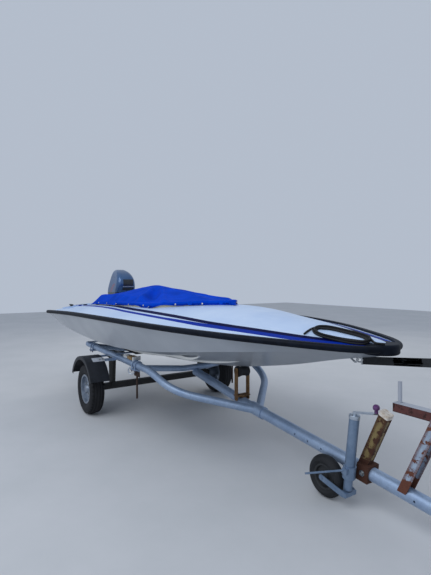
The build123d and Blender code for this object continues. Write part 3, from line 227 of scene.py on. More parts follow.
# A face is upright when its normal leans this little from level, and the painted shade on
# downward faces starts and is full where the normal's height is this
UPRIGHT = 0.93
PAINTED_SHADE_FROM, PAINTED_SHADE_FULL = -0.84, -0.96
normal = add_node(tree, "NewGeometry").outputs["True Normal"]
looks = add_node(tree, "SeparateXYZ", {0: normal}).outputs
axes = add_node(tree, "SeparateXYZ", {0: place}).outputs
sideways = add_node(tree, "Math", {"operation": "ABSOLUTE", 0: looks["Y"]}).outputs[0]
upright = add_node(tree, "Math", {"operation": "GREATER_THAN", 0: sideways, 1: UPRIGHT})
under_chine = add_node(tree, "Math", {"operation": "LESS_THAN", 0: axes["Z"], 1: CHINE_Z})
painted_highlight_faces = add_node(tree, "Math", {
    "operation": "MULTIPLY", 0: upright.outputs[0], 1: under_chine.outputs[0]}).outputs[0]
# Painted shade: faces that look down are darkened towards a blue grey.
painted_shade_share = add_node(tree, "MapRange", {
    "Value": looks["Z"], "From Min": PAINTED_SHADE_FROM, "From Max": PAINTED_SHADE_FULL, "To Max": 0.75}).outputs[0]
with_painted_shade = add_node(tree, "Mix", {
    "data_type": "RGBA", 0: painted_shade_share, 6: white, 7: linear("6F767F")}).outputs[2]
# Painted highlight: upright faces below the chine are made near white.
with_painted_highlights = add_node(tree, "Mix", {
    "data_type": "RGBA", 0: painted_highlight_faces, 6: with_painted_shade, 7: linear("FBFAF4")}).outputs[2]
tree.links.new(with_painted_highlights, shader.inputs["Base Color"])
dress(gelcoat, "hull")

# %% [markdown]
# The deck is the same gelcoat with two stripes moulded in, navy above royal blue; its white
# is tinted blue as painted skylight. They run beside the sheer and close on each other towards
# the bow. A float curve holds the distance of the upper stripe's inner edge from the centre
# line.

# %% Deck and the line of its stripes
# Painted skylight: the deck's white is tinted blue.
deck_finish, tree, shader, place, white = mottled(
    "white_deck_gelcoat_with_stripes", "C3D5EE", "B5CAE8", 380, 0.34, grain_mm=3, bump=0.02)
# Columns: metres forward of the axle, metres from the centre line to the inner edge
STRIPE_LINE = [
    (-1.5, 0.430), (-0.4, 0.475), (0.11, 0.505), (0.54, 0.536), (0.84, 0.540), (1.31, 0.520),
    (1.65, 0.478), (1.90, 0.418), (2.02, 0.386), (2.35, 0.280), (2.58, 0.185), (2.8, 0.075),
    (2.95, 0.004)]
STRIPE_AFT = -1.5
STRIPE_FRONT = 3.0
NAVY_WIDTH = 0.050
BOTH_WIDTH = 0.112
GAP_WIDTH = 0.025
axes = add_node(tree, "SeparateXYZ", {0: place}).outputs
along = add_node(tree, "MapRange", {
    "Value": axes["X"], "From Min": AXLE_X + STRIPE_AFT,
    "From Max": AXLE_X + STRIPE_FRONT}).outputs[0]
line = add_node(tree, "FloatCurve", {"Value": along})
curve = line.mapping.curves[0]
while len(curve.points) < len(STRIPE_LINE):
    curve.points.new(0.5, 0.5)
for point, (x, y) in zip(curve.points, STRIPE_LINE):
    point.location = ((x - STRIPE_AFT) / (STRIPE_FRONT - STRIPE_AFT), y)
line.mapping.update()
half = add_node(tree, "Math", {"operation": "ABSOLUTE", 0: axes["Y"]}).outputs[0]
offset = add_node(tree, "Math", {"operation": "SUBTRACT", 0: half, 1: line.outputs[0]}).outputs[0]
print("stripe points:", len(curve.points))

# %% [markdown]
# Each stripe is where the distance from that line lies between two numbers. The white gap
# between them closes towards the bow. Comparing a value with two limits gives the mask.
# The stripes' pigment has chalked dull, while the white keeps a soft gloss.

# %% Bands of the stripes
gap = add_node(tree, "MapRange", {
    "Value": along, "From Min": 0.62, "From Max": 0.73, "To Min": GAP_WIDTH, "To Max": 0.0})


def band(tree, value, low, high):
    """1 where low < value < high, else 0; low and high are numbers or sockets."""
    over = add_node(tree, "Math", {"operation": "GREATER_THAN", 0: value, 1: low})
    under = add_node(tree, "Math", {"operation": "LESS_THAN", 0: value, 1: high})
    return add_node(tree, "Math", {
        "operation": "MULTIPLY", 0: over.outputs[0], 1: under.outputs[0]}).outputs[0]


low_edge = add_node(tree, "Math", {"operation": "ADD", 0: gap.outputs[0], 1: NAVY_WIDTH}).outputs[0]
navy_band = band(tree, offset, 0.0, NAVY_WIDTH)
blue_band = band(tree, offset, low_edge, BOTH_WIDTH)
with_navy = add_node(tree, "Mix", {
    "data_type": "RGBA", 0: navy_band, 6: white, 7: linear("050A3C")}).outputs[2]
with_blue = add_node(tree, "Mix", {
    "data_type": "RGBA", 0: blue_band, 6: with_navy, 7: linear("0B2E96")}).outputs[2]
tree.links.new(with_blue, shader.inputs["Base Color"])
striped = add_node(tree, "Math", {"operation": "ADD", 0: navy_band, 1: blue_band})
sheen = add_node(tree, "MapRange", {
    "Value": striped.outputs[0], "To Min": 0.18, "To Max": 0.01}).outputs[0]
tree.links.new(sheen, shader.inputs["Specular IOR Level"])
dress(deck_finish, "deck")

# %% [markdown]
# The coaming round the cockpit is cream gelcoat. Rubber is near black with a worn, slightly
# dusty face: the extruded rub rail and nose cap are satin, mouldings are duller.

# %% Coaming, rubber and plastic
dress_plain(["cockpit_coaming"], "cream_gelcoat", "D8CFB4", "C6BC9F", 200, 0.3, coat=0.3,
            grain_mm=3, bump=0.02)
rail_rubber = dress_plain(["rub_rail_left", "rub_rail_right", "nose_cap"],
                          "extruded_black_rubber", "0B0F18", "141A26", 60, 0.5, grain_mm=1.5,
                          bump=0.08)
rail_rubber.node_tree.nodes["Principled BSDF"].inputs["Specular IOR Level"].default_value = 0.1
dress_plain(["stern_cleats", "mudguard_left", "mudguard_right"], "moulded_black_plastic",
            "0A0E16", "141A24", 40, 0.5, grain_mm=0.8, bump=0.12)
# The axle beam gets a near-black finish with dark brown patches.
dress_plain(["axle_beam"], "black_chassis_paint", "121419", "26241F", 55, 0.6, grain_mm=1.5,
            bump=0.2)
dress_plain(["jockey_tyre", "keel_roller"], "solid_black_rubber", "0E1014", "1C1E22", 50, 0.75,
            grain_mm=1.2, bump=0.2)
dress_plain(["jockey_rim"], "black_moulded_rim", "1C1D1F", "2A2C2E", 40, 0.55, grain_mm=1,
            bump=0.1)

# %% [markdown]
# Hot-dip galvanised steel carries a skin of zinc crystals, the spangle, each a few
# millimetres to a centimetre across and each at its own dull gloss. Weather greys it and
# leaves white bloom. A Voronoi pattern gives the crystals, a noise gives the bloom. The
# jockey's own parts are newer tube with a thinner, greyer zinc.

# %% Galvanised steel
# Crystals a metre, which makes each about 11 mm across
SPANGLE = 90.0
# Painted skylight: the zinc's blue-grey is partly its own and partly a painted blue cast.
zinc, tree, shader, place, bloom = mottled(
    "weathered_galvanised_steel", "8DA2BF", "A0B3CC", 160, 0.44, metallic=0.5, grain_mm=3,
    bump=0.04, rough_spread=0.06)
crystals = add_node(tree, "TexVoronoi", {"Vector": place, "Scale": SPANGLE})
tone = add_node(tree, "SeparateColor", {0: crystals.outputs["Color"]}).outputs[0]
shade = add_node(tree, "MapRange", {"Value": tone, "To Min": 0.93, "To Max": 1.05}).outputs[0]
toned = add_node(tree, "VectorMath", {"operation": "SCALE", 0: bloom, "Scale": shade})
tree.links.new(toned.outputs[0], shader.inputs["Base Color"])
dress(zinc, "bunk_arms", "coupling_handle", "coupling_head", "mudguard_stays_left",
      "mudguard_stays_right", "trailer_cross_tube_front", "trailer_cross_tube_rear",
      "trailer_drawbar", "trailer_side_tube_left", "trailer_side_tube_right", "trailer_spine",
      "trailer_vee_sleeve", "winch_frame")
dress_plain(["jockey_clamp", "jockey_fork", "jockey_inner_tube", "jockey_stem"],
            "grey_zinc_on_jockey_parts", "6C819B", "8194AC", 60, 0.4, metallic=0.55,
            grain_mm=2, bump=0.05)

# %% [markdown]
# Painted steel rusts from its edges and from chips inwards. A bevel test tells the shader how
# near an edge is: the normal of a rounded copy of the form leans away from the true normal
# there. A noise breaks the border up, so that paint is left in islands on the flat faces.

# %% Painted steel with rust at its edges
PAINT_ROUGHNESS = 0.55
RUST_ROUGHNESS = 0.9
# Patterns a metre: patches of rust some 4 cm across, and spots of 5 mm inside them
RUST_PATCHES, RUST_SPOTS = 26.0, 210.0


def rusting_paint(name, paint, paint_two, rust_tone, rust_two, reach, share, foot=0.0):
    """Paint that rust eats from the edges, reach metres in, and wholly below the height foot.

    share says how much of the faces is rust. Returns what mottled returns."""
    material, tree, shader, place, paint_mix = mottled(
        name, paint, paint_two, 45, PAINT_ROUGHNESS, grain_mm=2, bump=0.25)
    spots = add_node(tree, "TexNoise", {
        "Vector": place, "Scale": RUST_SPOTS, "Detail": 4.0}).outputs["Fac"]
    rust_mix = add_node(tree, "Mix", {
        "data_type": "RGBA", 0: spots, 6: linear(rust_tone), 7: linear(rust_two)}).outputs[2]
    rounded = add_node(tree, "Bevel", {"samples": 6, "Radius": reach})
    flat = add_node(tree, "NewGeometry")
    lean = add_node(tree, "VectorMath", {
        "operation": "DOT_PRODUCT", 0: rounded.outputs["Normal"], 1: flat.outputs["Normal"]})
    at_edge = add_node(tree, "MapRange", {
        "Value": lean.outputs["Value"], "From Min": 1.0, "From Max": 0.97, "To Max": 0.30})
    height = add_node(tree, "SeparateXYZ", {0: place}).outputs["Z"]
    at_foot = add_node(tree, "MapRange", {
        "Value": height, "From Min": foot + 0.05, "From Max": foot - 0.01})
    near = add_node(tree, "Math", {
        "operation": "ADD", 0: at_edge.outputs[0], 1: at_foot.outputs[0]}).outputs[0]
    clouds = add_node(tree, "TexNoise", {
        "Vector": place, "Scale": RUST_PATCHES, "Detail": 8.0, "Roughness": 0.62}).outputs["Fac"]
    eaten = add_node(tree, "Math", {"operation": "ADD", 0: clouds, 1: near}).outputs[0]
    rusty = add_node(tree, "MapRange", {
        "Value": eaten, "From Min": 0.66 - share * 0.4, "From Max": 0.72 - share * 0.4}).outputs[0]
    shown = add_node(tree, "Mix", {
        "data_type": "RGBA", 0: rusty, 6: paint_mix, 7: rust_mix}).outputs[2]
    tree.links.new(shown, shader.inputs["Base Color"])
    dull = add_node(tree, "MapRange", {
        "Value": rusty, "To Min": PAINT_ROUGHNESS, "To Max": RUST_ROUGHNESS}).outputs[0]
    tree.links.new(dull, shader.inputs["Roughness"])
    return material, tree, shader, place, shown


print("rusting paint ready")

# %% [markdown]
# Three parts of the trailer's nose were painted once, the stub post olive, the winch post
# pale grey and the stop arm maroon, and each has its own share of rust. The clamps are zinc
# with a rusted rod. The stop arm's top face keeps pale paint, and its pin is bare zinc.

# %% Rusting posts, stop arm and clamps
dress(rusting_paint("worn_olive_paint_over_rust", "7E6C42", "8F7C50", "2C1A14", "59321F",
                    0.034, 0.40, 0.245)[0], "stub_post")
dress(rusting_paint("pale_grey_paint_over_rust", "A3B2C4", "93A2B5", "47261E", "7A4832",
                    0.022, 0.34, 0.235)[0], "winch_post")
# Painted skylight: the clamps' zinc tone carries the same painted blue cast.
dress(rusting_paint("galvanised_clamp_with_rusted_rod", "8DA2BF", "8294AC", "2A201C", "463228",
                    0.002, 0.0, 0.470)[0], "tube_clamps")
ARM_TOP_Z = 0.6745
maroon, tree, shader, place, shown = rusting_paint(
    "maroon_rust_with_paint_traces", "4C2523", "5E302B", "2A1816", "40231E", 0.008, 0.30)
height = add_node(tree, "SeparateXYZ", {0: place}).outputs["Z"]
topped = add_node(tree, "Mix", {
    "data_type": "RGBA", 0: band(tree, height, ARM_TOP_Z, 0.90), 6: shown, 7: linear("A9AEB8")})
tree.links.new(topped.outputs[2], shader.inputs["Base Color"])
dress(maroon, "bow_stop_arm")

# %% [markdown]
# The rest are small parts of one stuff each: a roller bracket rusted through, a perished
# rubber pad, a polished bow eye, bunks of damp timber under carpet and a plum knob. Each
# needs only two near tones, patches of the right size and its own gloss.

# %% Rust without paint, timber and small parts
dress_plain(["keel_roller_bracket"], "rusted_through_steel", "5A4028", "8A6A44", 35, 0.85,
            metallic=0.15, grain_mm=2.5, bump=0.5)
dress_plain(["stub_post_pad"], "perished_rubber_pad", "C9B9A6", "EDE7DF", 22, 0.8, grain_mm=2,
            bump=0.6)
stainless = dress_plain(["bow_eye"], "polished_stainless_bar", "B9BCBF", "A4A7AA", 30, 0.22,
                        metallic=1.0, grain_mm=1, bump=0.03)
dress_plain(["bunk_left", "bunk_right"], "damp_carpeted_timber", "231D1A", "332B26", 60, 0.95,
            grain_mm=2, bump=0.6)
dress_plain(["jockey_knob"], "plum_phenolic_knob", "6C3A78", "57305F", 20, 0.3, coat=0.3,
            grain_mm=1, bump=0.03)

# %% [markdown]
# The outboard's castings wear satin dark paint; its cowl is moulded and sprayed in a
# metallic steel blue under clear lacquer, with two short slanted stripes low on its flanks
# over a charcoal skirt. The stripes are bands of the height less the distance forward.

# %% Motor finishes
COWL_STRIPES = (3.420, 3.462)
COWL_STRIPE_WIDTH = 0.020
COWL_STRIPE_HEIGHTS = (1.205, 1.312)
SKIRT_HEIGHTS = (1.0, 1.200)
dress_plain(["motor_clamp", "motor_swivel_bracket", "motor_cowl_pan", "motor_leg",
             "motor_gearcase", "propeller"], "satin_dark_casting_paint", "23272E", "2E333B",
            90, 0.42, metallic=0.2, coat=0.2, grain_mm=1.5, bump=0.08)
cowl_paint, tree, shader, place, shown = mottled(
    "metallic_steel_blue_lacquer", "3F6490", "35527A", 160, 0.3, metallic=0.45, coat=0.6,
    grain_mm=0.6, bump=0.03)
axes = add_node(tree, "SeparateXYZ", {0: place}).outputs
slant = add_node(tree, "Math", {"operation": "SUBTRACT", 0: axes["Z"], 1: axes["X"]})
flank = add_node(tree, "Math", {"operation": "ABSOLUTE", 0: axes["Y"]}).outputs[0]
stripe_area = add_node(tree, "Math", {
    "operation": "MULTIPLY", 0: band(tree, flank, 0.095, 0.2),
    1: band(tree, axes["Z"], *COWL_STRIPE_HEIGHTS)}).outputs[0]
for start in COWL_STRIPES:
    stripe = band(tree, slant.outputs[0], start, start + COWL_STRIPE_WIDTH)
    masked = add_node(tree, "Math", {"operation": "MULTIPLY", 0: stripe, 1: stripe_area})
    shown = add_node(tree, "Mix", {
        "data_type": "RGBA", 0: masked.outputs[0], 6: shown, 7: linear("8E2E38")}).outputs[2]
skirted = add_node(tree, "Mix", {
    "data_type": "RGBA", 0: band(tree, axes["Z"], *SKIRT_HEIGHTS), 6: shown, 7: linear("20242A")})
tree.links.new(skirted.outputs[2], shader.inputs["Base Color"])
dress(cowl_paint, "motor_cowl")
dress_plain(["motor_powerhead"], "as_cast_aluminium", "8B8D8F", "7B7D7F", 30, 0.6,
            metallic=0.8, grain_mm=2, bump=0.3)

# %% [markdown]
# The pressed steel wheels are sprayed silver and have gone flat with the weather.

# %% Wheels
dress_plain(["wheel_rim_left", "wheel_rim_right"], "silver_wheel_paint", "8E99A8", "76808E",
            50, 0.38, metallic=0.55, coat=0.2, grain_mm=1.2, bump=0.05)

# %% [markdown]
# The cockpit cover is one piece of coated canvas, stretched over a ridge and snapped down over
# the coaming. It could be cut from flat panels, but real canvas is one curved sheet with
# pulled folds, so a flat grid is laid over the boat and each of its points is lifted to the
# tent's form: ridge, sides, skirt, and the folds that run from the peak to the hem.
# Its points have to know where the boat is, and a ray dropped from above tells them.

# %% Rays on to the boat
ABOVE_ALL = 3
DOWN = Vector((0, 0, -1))


def ray_tree(piece):
    """A node or piece as rays see it."""
    return BVHTree.FromObject(piece, bpy.context.evaluated_depsgraph_get())


def drop(tree, x, y):
    """The point that a ray from above finds, or None."""
    return tree.ray_cast(Vector((x, y, ABOVE_ALL)), DOWN)[0]


deck_tree = ray_tree(nodes["deck"])
coaming_tree = ray_tree(nodes["cockpit_coaming"])


def deck_height(x, y):
    """Height of the deck at a point."""
    return drop(deck_tree, x, y).z


print("deck beside the cockpit at height", round(deck_height(AXLE_X, 0.6), 3))

# %% [markdown]
# The tent's heights are set at a few stations along the boat: its edge over the coaming, its
# haunch and its ridge. Between them they are softened, because cloth has no corners there.

# %% Canvas stations
# Columns: metres forward of the axle, edge height, haunch height, ridge height
COVER_STATIONS = [
    (-0.800, 1.076, 1.180, 1.256), (-0.450, 1.084, 1.196, 1.268),
    (-0.060, 1.094, 1.205, 1.308), (0.350, 1.104, 1.180, 1.268),
    (0.800, 1.112, 1.156, 1.212), (1.080, 1.138, 1.154, 1.174),
    (1.430, 1.142, 1.146, 1.150)]
EDGE, HAUNCH, RIDGE = 1, 2, 3


def cover_value(x, column):
    """One column of the stations at x, softened over 12 cm each way."""
    total = 0.0
    for step in range(-4, 5):
        at = min(max(x + step * 0.03, COVER_STATIONS[0][0]), COVER_STATIONS[-1][0])
        for low, high in zip(COVER_STATIONS, COVER_STATIONS[1:]):
            if at <= high[0]:
                break
        share = (at - low[0]) / (high[0] - low[0])
        total += low[column] + (high[column] - low[column]) * share
    return total / 9


def ease(value):
    """0 below 0, 1 above 1, smooth between."""
    value = min(max(value, 0.0), 1.0)
    return value * value * (3 - 2 * value)


print("ridge over the axle at height", round(cover_value(0, RIDGE), 3))

# %% [markdown]
# The hem follows the coaming's outer face, a little outside it. Rays shot inwards from the
# side find that face at each step along the boat, and the widest hit of each step counts.

# %% Canvas edge
HEM_OUT = 0.013
EDGE_AFT = -0.74
EDGE_STEP = 0.02


def coaming_edge(x):
    """Half-width of the coaming's outer face at x, the widest of rays at 24 heights."""
    half = 0.0
    for step in range(24):
        start = Vector((AXLE_X + x, -1.5, 1.02 + 0.006 * step))
        hit = coaming_tree.ray_cast(start, Vector((0, 1, 0)))[0]
        if hit:
            half = max(half, -hit.y)
    return half


EDGE_LINE = [coaming_edge(EDGE_AFT + EDGE_STEP * step) for step in range(110)]


def hem_half(x):
    """Half-width of the canvas at its hem, just outside the coaming."""
    at = min(max((x - EDGE_AFT) / EDGE_STEP, 0), len(EDGE_LINE) - 1.001)
    low = int(at)
    step = EDGE_LINE[low + 1] - EDGE_LINE[low]
    return EDGE_LINE[low] + step * (at - low) + HEM_OUT * min(math.hypot(1, step / EDGE_STEP), 3)


print("hem half-widths:", [round(hem_half(x), 3) for x in (-0.7, 0.2, 0.8, 1.2, 1.41)])

# %% [markdown]
# Cloth under tension folds along the pull: each fold is a soft valley or ridge that starts
# narrow at the peak and widens to the hem. Its height over the smooth tent is a bell curve
# across the fold that fades in and out along it.

# %% Pulled folds
# Columns: start and end in metres from the axle and the centre line, width, depth. A
# negative depth is a valley, a positive one a ridge of cloth
FOLDS = [
    ((-0.02, 0.02), (0.78, 0.49), 0.075, -0.048),
    ((-0.04, 0.02), (0.52, 0.52), 0.042, 0.026),
    ((0.08, 0.02), (0.94, 0.42), 0.042, 0.028),
    ((-0.10, 0.02), (0.10, 0.52), 0.080, -0.008),
    ((-0.40, 0.03), (-0.78, 0.46), 0.090, 0.010),
    ((0.80, 0.02), (1.00, 0.33), 0.060, -0.006),
]


def fold_lift(x, y):
    """Height that the pulled folds add at a point, the same on both sides of the boat."""
    lift = 0.0
    for (x0, y0), (x1, y1), width, depth in FOLDS:
        dx, dy = x1 - x0, y1 - y0
        length = math.hypot(dx, dy)
        go = ((x - x0) * dx + (abs(y) - y0) * dy) / (length * length)
        away = ((x - x0) * dy - (abs(y) - y0) * dx) / length
        spread = width * (0.45 + 0.75 * min(max(go, 0), 1))
        lift += depth * math.exp(-(away / spread) ** 2) * ease(go * 3) * ease((1.12 - go) * 4)
    return lift


print("folds:", len(FOLDS))

# %% [markdown]
# Each point of the sheet has a share of its length and a share of its half-width, and these
# say where it lies: on the roof, the side or the skirt. Between the studs the hem lifts a
# little, and the tie-down pulls it down. Aft, the sheet has a notch round the splash well,
# and at both ends and round the notch it falls to the deck.

# %% Canvas shape
TIE_DOWN_X = 0.79
# Columns: place forward of the axle, half-length, lift of the hem
HEM_LIFTS = [(0.36, 0.15, 0.022), (0.535, 0.04, 0.014), (TIE_DOWN_X, 0.05, -0.012),
             (0.915, 0.055, 0.040)]
WELL_FRONT = -0.50
WELL_HALF = 0.33
COVER_AFT = -0.925
COVER_LENGTH = 2.385
COVER_FRONT = COVER_AFT + COVER_LENGTH
# Length over which the cloth falls to the deck at its ends
AFT_FALL = 0.08
FRONT_FALL = 0.150
# Shares of the half-sheet's width at which the haunch and the skirt's top lie, and the
# share that the side and the skirt take up
HAUNCH_AT, SKIRT_AT = 0.66, 0.92
SIDE_SPAN, SKIRT_SPAN = 0.26, 0.08
HAUNCH_WIDTH = 0.78
SAG = 0.010
WRINKLE = 0.0016
SKIRT_FLARE = 0.004
# Heights over the deck: the hem's lowest point, the notch's edge, the sheet's two ends
HEM_OVER, WELL_EDGE_OVER, ENDS_OVER = 0.004, 0.045, 0.006


def sheet_x(along):
    """Metres forward of the axle of a point of the flat sheet; along runs from -1 to 1."""
    return COVER_AFT + COVER_LENGTH * (along + 1) / 2


def cover_point(along, across):
    """Where a point of the flat sheet comes to lie; both shares run from -1 to 1."""
    x = sheet_x(along)
    s = abs(across)
    side = 1 if across >= 0 else -1
    edge = hem_half(x)
    edge_z, haunch_z, ridge_z = (cover_value(x, column) for column in (EDGE, HAUNCH, RIDGE))
    if s <= HAUNCH_AT:
        share = s / HAUNCH_AT
        y = HAUNCH_WIDTH * edge * share
        sag = SAG * math.sin(math.pi * share) * ease(edge * 4)
        z = ridge_z + (haunch_z - ridge_z) * share ** 1.12 - sag
    elif s <= SKIRT_AT:
        share = (s - HAUNCH_AT) / SIDE_SPAN
        y = edge * (HAUNCH_WIDTH + 0.22 * share)
        z = haunch_z + (edge_z - haunch_z) * share ** 0.9
    else:
        share = (s - SKIRT_AT) / SKIRT_SPAN
        y = edge + SKIRT_FLARE * share
        hem = sum(up * math.exp(-((x - at) / reach) ** 2) for at, reach, up in HEM_LIFTS)
        foot = deck_height(AXLE_X + min(x, 1.40), side * y) + HEM_OVER
        z = edge_z + (max(foot + hem + 0.006, foot) - edge_z) * share
    lift = fold_lift(x, y) * ease((1 - s) * 6)
    wrinkle = WRINKLE * math.sin(x * 61 + 5 * s) * ease((s - 0.6) * 4) * ease((1 - s) * 20)
    z = z + lift + wrinkle
    if x < WELL_FRONT + 0.06 and y < WELL_HALF + 0.05:
        reach = max(x - WELL_FRONT, y - WELL_HALF)
        beside = max(y, WELL_HALF) if x < WELL_FRONT else y
        low = deck_height(AXLE_X + x, side * beside) + WELL_EDGE_OVER
        z = low + (z - low) * math.sqrt(ease(reach / 0.05))
    for reach, to_end in ((AFT_FALL, x - COVER_AFT), (FRONT_FALL, COVER_FRONT - x)):
        if to_end < reach:
            beside = max(y, WELL_HALF) if x < 0 else y
            low = deck_height(AXLE_X + x, side * beside) + ENDS_OVER
            z = low + (z - low) * math.sqrt(ease(to_end / reach))
    return Vector((AXLE_X + x, side * y, z))


print("falls over", AFT_FALL, "m aft and", FRONT_FALL, "m in front")

# %% [markdown]
# The flat sheet is a grid fine enough for the folds, with its notch cut out of the aft edge
# before each point goes to its place.

# %% Canvas sheet
# The notch's half-width, as a share of the half-sheet
NOTCH_HALF = 0.58
bm = bmesh.new()
bmesh.ops.create_grid(bm, x_segments=170, y_segments=120, size=1)
cut = [f for f in bm.faces if sheet_x(f.calc_center_median().x) < WELL_FRONT
       and abs(f.calc_center_median().y) < NOTCH_HALF]
bmesh.ops.delete(bm, geom=cut, context="FACES")
for v in bm.verts:
    v.co = cover_point(v.co.x, v.co.y)
print("points of the sheet:", len(bm.verts))

# %% [markdown]
# The cloth is eased a little all over, then its skirt is hung outside the coaming again and
# the rest is laid on top of whatever lies under each point or just beside it, which a star
# of rays finds. At last the sheet gets the thickness of coated canvas.

# %% Canvas laid on the boat
LIFT_OVER_COAMING = 0.006
LIFT_OVER_DECK = 0.003
RAY_STAR = [(reach * math.cos(turn * math.pi / 4), reach * math.sin(turn * math.pi / 4))
            for reach in (0.006, 0.012) for turn in range(8)]
CANVAS_THICKNESS = 0.0015
inner = [v for v in bm.verts if not v.is_boundary]
skirt = [(v, v.co.y) for v in inner if abs(v.co.y) >= hem_half(v.co.x - AXLE_X) - 0.0005]
for turn in range(3):
    bmesh.ops.smooth_vert(bm, verts=inner, factor=0.5, use_axis_x=True, use_axis_y=True,
                          use_axis_z=True)
for v, y in skirt:
    v.co.y = y
for v in bm.verts:
    hangs = abs(v.co.y) >= hem_half(v.co.x - AXLE_X) - 0.0015
    for dx, dy in [(0.0, 0.0)] + ([] if hangs else RAY_STAR):
        for solid, lift in ((coaming_tree, LIFT_OVER_COAMING), (deck_tree, LIFT_OVER_DECK)):
            top = drop(solid, v.co.x + dx, v.co.y + dy)
            if top:
                v.co.z = max(v.co.z, top.z + lift)
bmesh.ops.recalc_face_normals(bm, faces=bm.faces)
if sum(f.normal.z for f in bm.faces) < 0:
    bmesh.ops.reverse_faces(bm, faces=bm.faces)
canvas_area = sum(f.calc_area() for f in bm.faces)
canvas_cover = to_object(bm, "canvas_cover")
canvas_cover.data.shade_smooth()
thick = canvas_cover.modifiers.new("cloth_thickness", "SOLIDIFY")
thick.thickness = CANVAS_THICKNESS
thick.offset = 1
print("canvas area, m2:", round(canvas_area, 3))

# %% [markdown]
# Boat canvas is a plain weave of acrylic yarn with a coating, dyed through. From a few
# metres the weave only breaks up the highlights; nearer, it shows as a fine square net.
# The sun fades it unevenly, so the colour gets a slow, soft variation.

# %% Canvas finish
# Threads a metre, drawn at 2 mm, coarser than they are, so that the net shows at all
WEAVE = 520.0
canvas_blue, tree, shader, place = mottled(
    "coated_royal_blue_canvas", "0046CE", "003BB0", 260, 0.9, grain_mm=30, bump=0.15)[:4]
shader.inputs["Specular IOR Level"].default_value = 0.08
net = add_node(tree, "TexVoronoi", {
    "feature": "F1", "distance": "CHEBYCHEV", "Vector": place, "Scale": WEAVE,
    "Randomness": 0.15}).outputs["Distance"]
weave = add_node(tree, "Bump", {"Height": net, "Strength": 0.35, "Distance": 0.0006})
tree.links.new(weave.outputs["Normal"], shader.inputs["Normal"])
canvas_cover.data.materials.append(canvas_blue)
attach(canvas_cover, BOAT)
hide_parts("cockpit_cover")
print("canvas finished in", canvas_blue.name)

# %% [markdown]
# Press studs hold the skirt to the coaming, seven on each side. Each is a small domed cap of
# plated brass, set on the cloth where a ray from the side meets it.


# %% Press studs of the canvas
def finish_piece(bm, name, material, body, angle=35):
    """Turns a bmesh into a piece that rides on a body, soft between edges over the angle."""
    bmesh.ops.recalc_face_normals(bm, faces=bm.faces)
    piece = to_object(bm, name)
    piece.data.materials.append(material)
    piece.data.shade_smooth()
    piece.data.set_sharp_from_angle(angle=math.radians(angle))
    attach(piece, body)
    print("piece", name, "of", len(piece.data.polygons), "faces on", body)
    return piece


def facing(way):
    """The turn that brings +Z to a direction."""
    return Vector(way).to_track_quat("Z", "Y").to_matrix().to_4x4()


def domes(name, places, radius, material, body):
    """Small domed caps. Each place is a point and the way that the dome faces."""
    bm = bmesh.new()
    for point, way in places:
        place = Matrix.Translation(Vector(point)) @ facing(way) @ Matrix.Diagonal((1, 1, 0.45, 1))
        bmesh.ops.create_uvsphere(bm, u_segments=14, v_segments=8, radius=radius, matrix=place)
    return finish_piece(bm, name, material, body)


stud_metal = mottled("nickel_plated_brass_stud", "D9D6CE", "B9B5AA", 6, 0.25, metallic=1.0,
                     grain_mm=0.5, bump=0.02)[0]
canvas_tree = ray_tree(canvas_cover)
STUD_RADIUS = 0.009
STUD_PLACES_X = (-0.62, -0.30, 0.02, 0.34, 0.66, 1.00, 1.20)
stud_places = []
for x in STUD_PLACES_X:
    for side in (-1, 1):
        start = Vector((AXLE_X + x, side * 2, cover_value(x, EDGE) + 0.012))
        hit, normal = canvas_tree.ray_cast(start, Vector((0, -side, 0)))[:2]
        if hit:
            stud_places.append((hit + normal * 0.001, normal))
studs = domes("cover_press_studs", stud_places, STUD_RADIUS, stud_metal, BOAT)
print("press studs:", len(stud_places))

# %% [markdown]
# The mooring line is a 13 mm braid dropped on the foredeck in a long loose hank. It lies as a
# rope does: two turns side by side on the deck, a third one riding in the groove between
# them, part of a fourth inside, and the free end trailing aft over the outer turns. It is one
# spline, so it never breaks between the turns.

# %% Shape of the hank
ROPE_RADIUS = 0.0065
COIL_MIDDLE = Vector((AXLE_X + 2.640, -0.095))
COIL_HALF = (0.1935, 0.0885)
COIL_TURN = math.radians(5)
# Turns: columns are inset from the outer turn and lift over the deck, metres
COIL_LAY = [(0.000, 0.0), (0.0160, 0.0), (0.0080, 0.0106), (0.0380, 0.0), (0.0380, 0.0)]
# Shift of each turn towards the bow and to port, so that the turns fan out
TURN_SHIFT = [(0.000, 0.000), (0.003, 0.001), (0.000, 0.000), (0.007, 0.004), (0.000, 0.000)]
NOSE_ROUTE = [(2.918, -0.058), (2.893, -0.072), (2.862, -0.076)]
# Columns: metres forward of the axle, metres to port, lift. It climbs over the outer turns
# at its first point, then lies on the deck
TAIL_ROUTE = [(2.458, -0.120, 0.0130), (2.440, -0.172, 0.0), (2.462, -0.226, 0.0)]
rope_bed = [deck_tree, ray_tree(nodes["nose_cap"])]


def bed_height(x, y):
    """Top of the deck or the rubber nose under a point."""
    return max(hit.z for hit in [drop(tree, x, y) for tree in rope_bed] if hit)


def hank_point(angle, inset, lift, shift):
    """A point of the hank: a rounded oblong, squeezed a little where a hand held it."""
    squeeze = 1 - 0.05 * math.cos(2 * angle) ** 2 + 0.035 * math.sin(3 * angle)
    round_cos = math.copysign(abs(math.cos(angle)) ** 0.8, math.cos(angle))
    round_sin = math.copysign(abs(math.sin(angle)) ** 0.8, math.sin(angle))
    along = (COIL_HALF[0] - inset) * round_cos + shift[0]
    across = (COIL_HALF[1] - inset) * round_sin * squeeze + shift[1]
    x = COIL_MIDDLE.x + along * math.cos(COIL_TURN) - across * math.sin(COIL_TURN)
    y = COIL_MIDDLE.y + along * math.sin(COIL_TURN) + across * math.cos(COIL_TURN)
    return Vector((x, y, bed_height(x, y) + ROPE_RADIUS + lift))


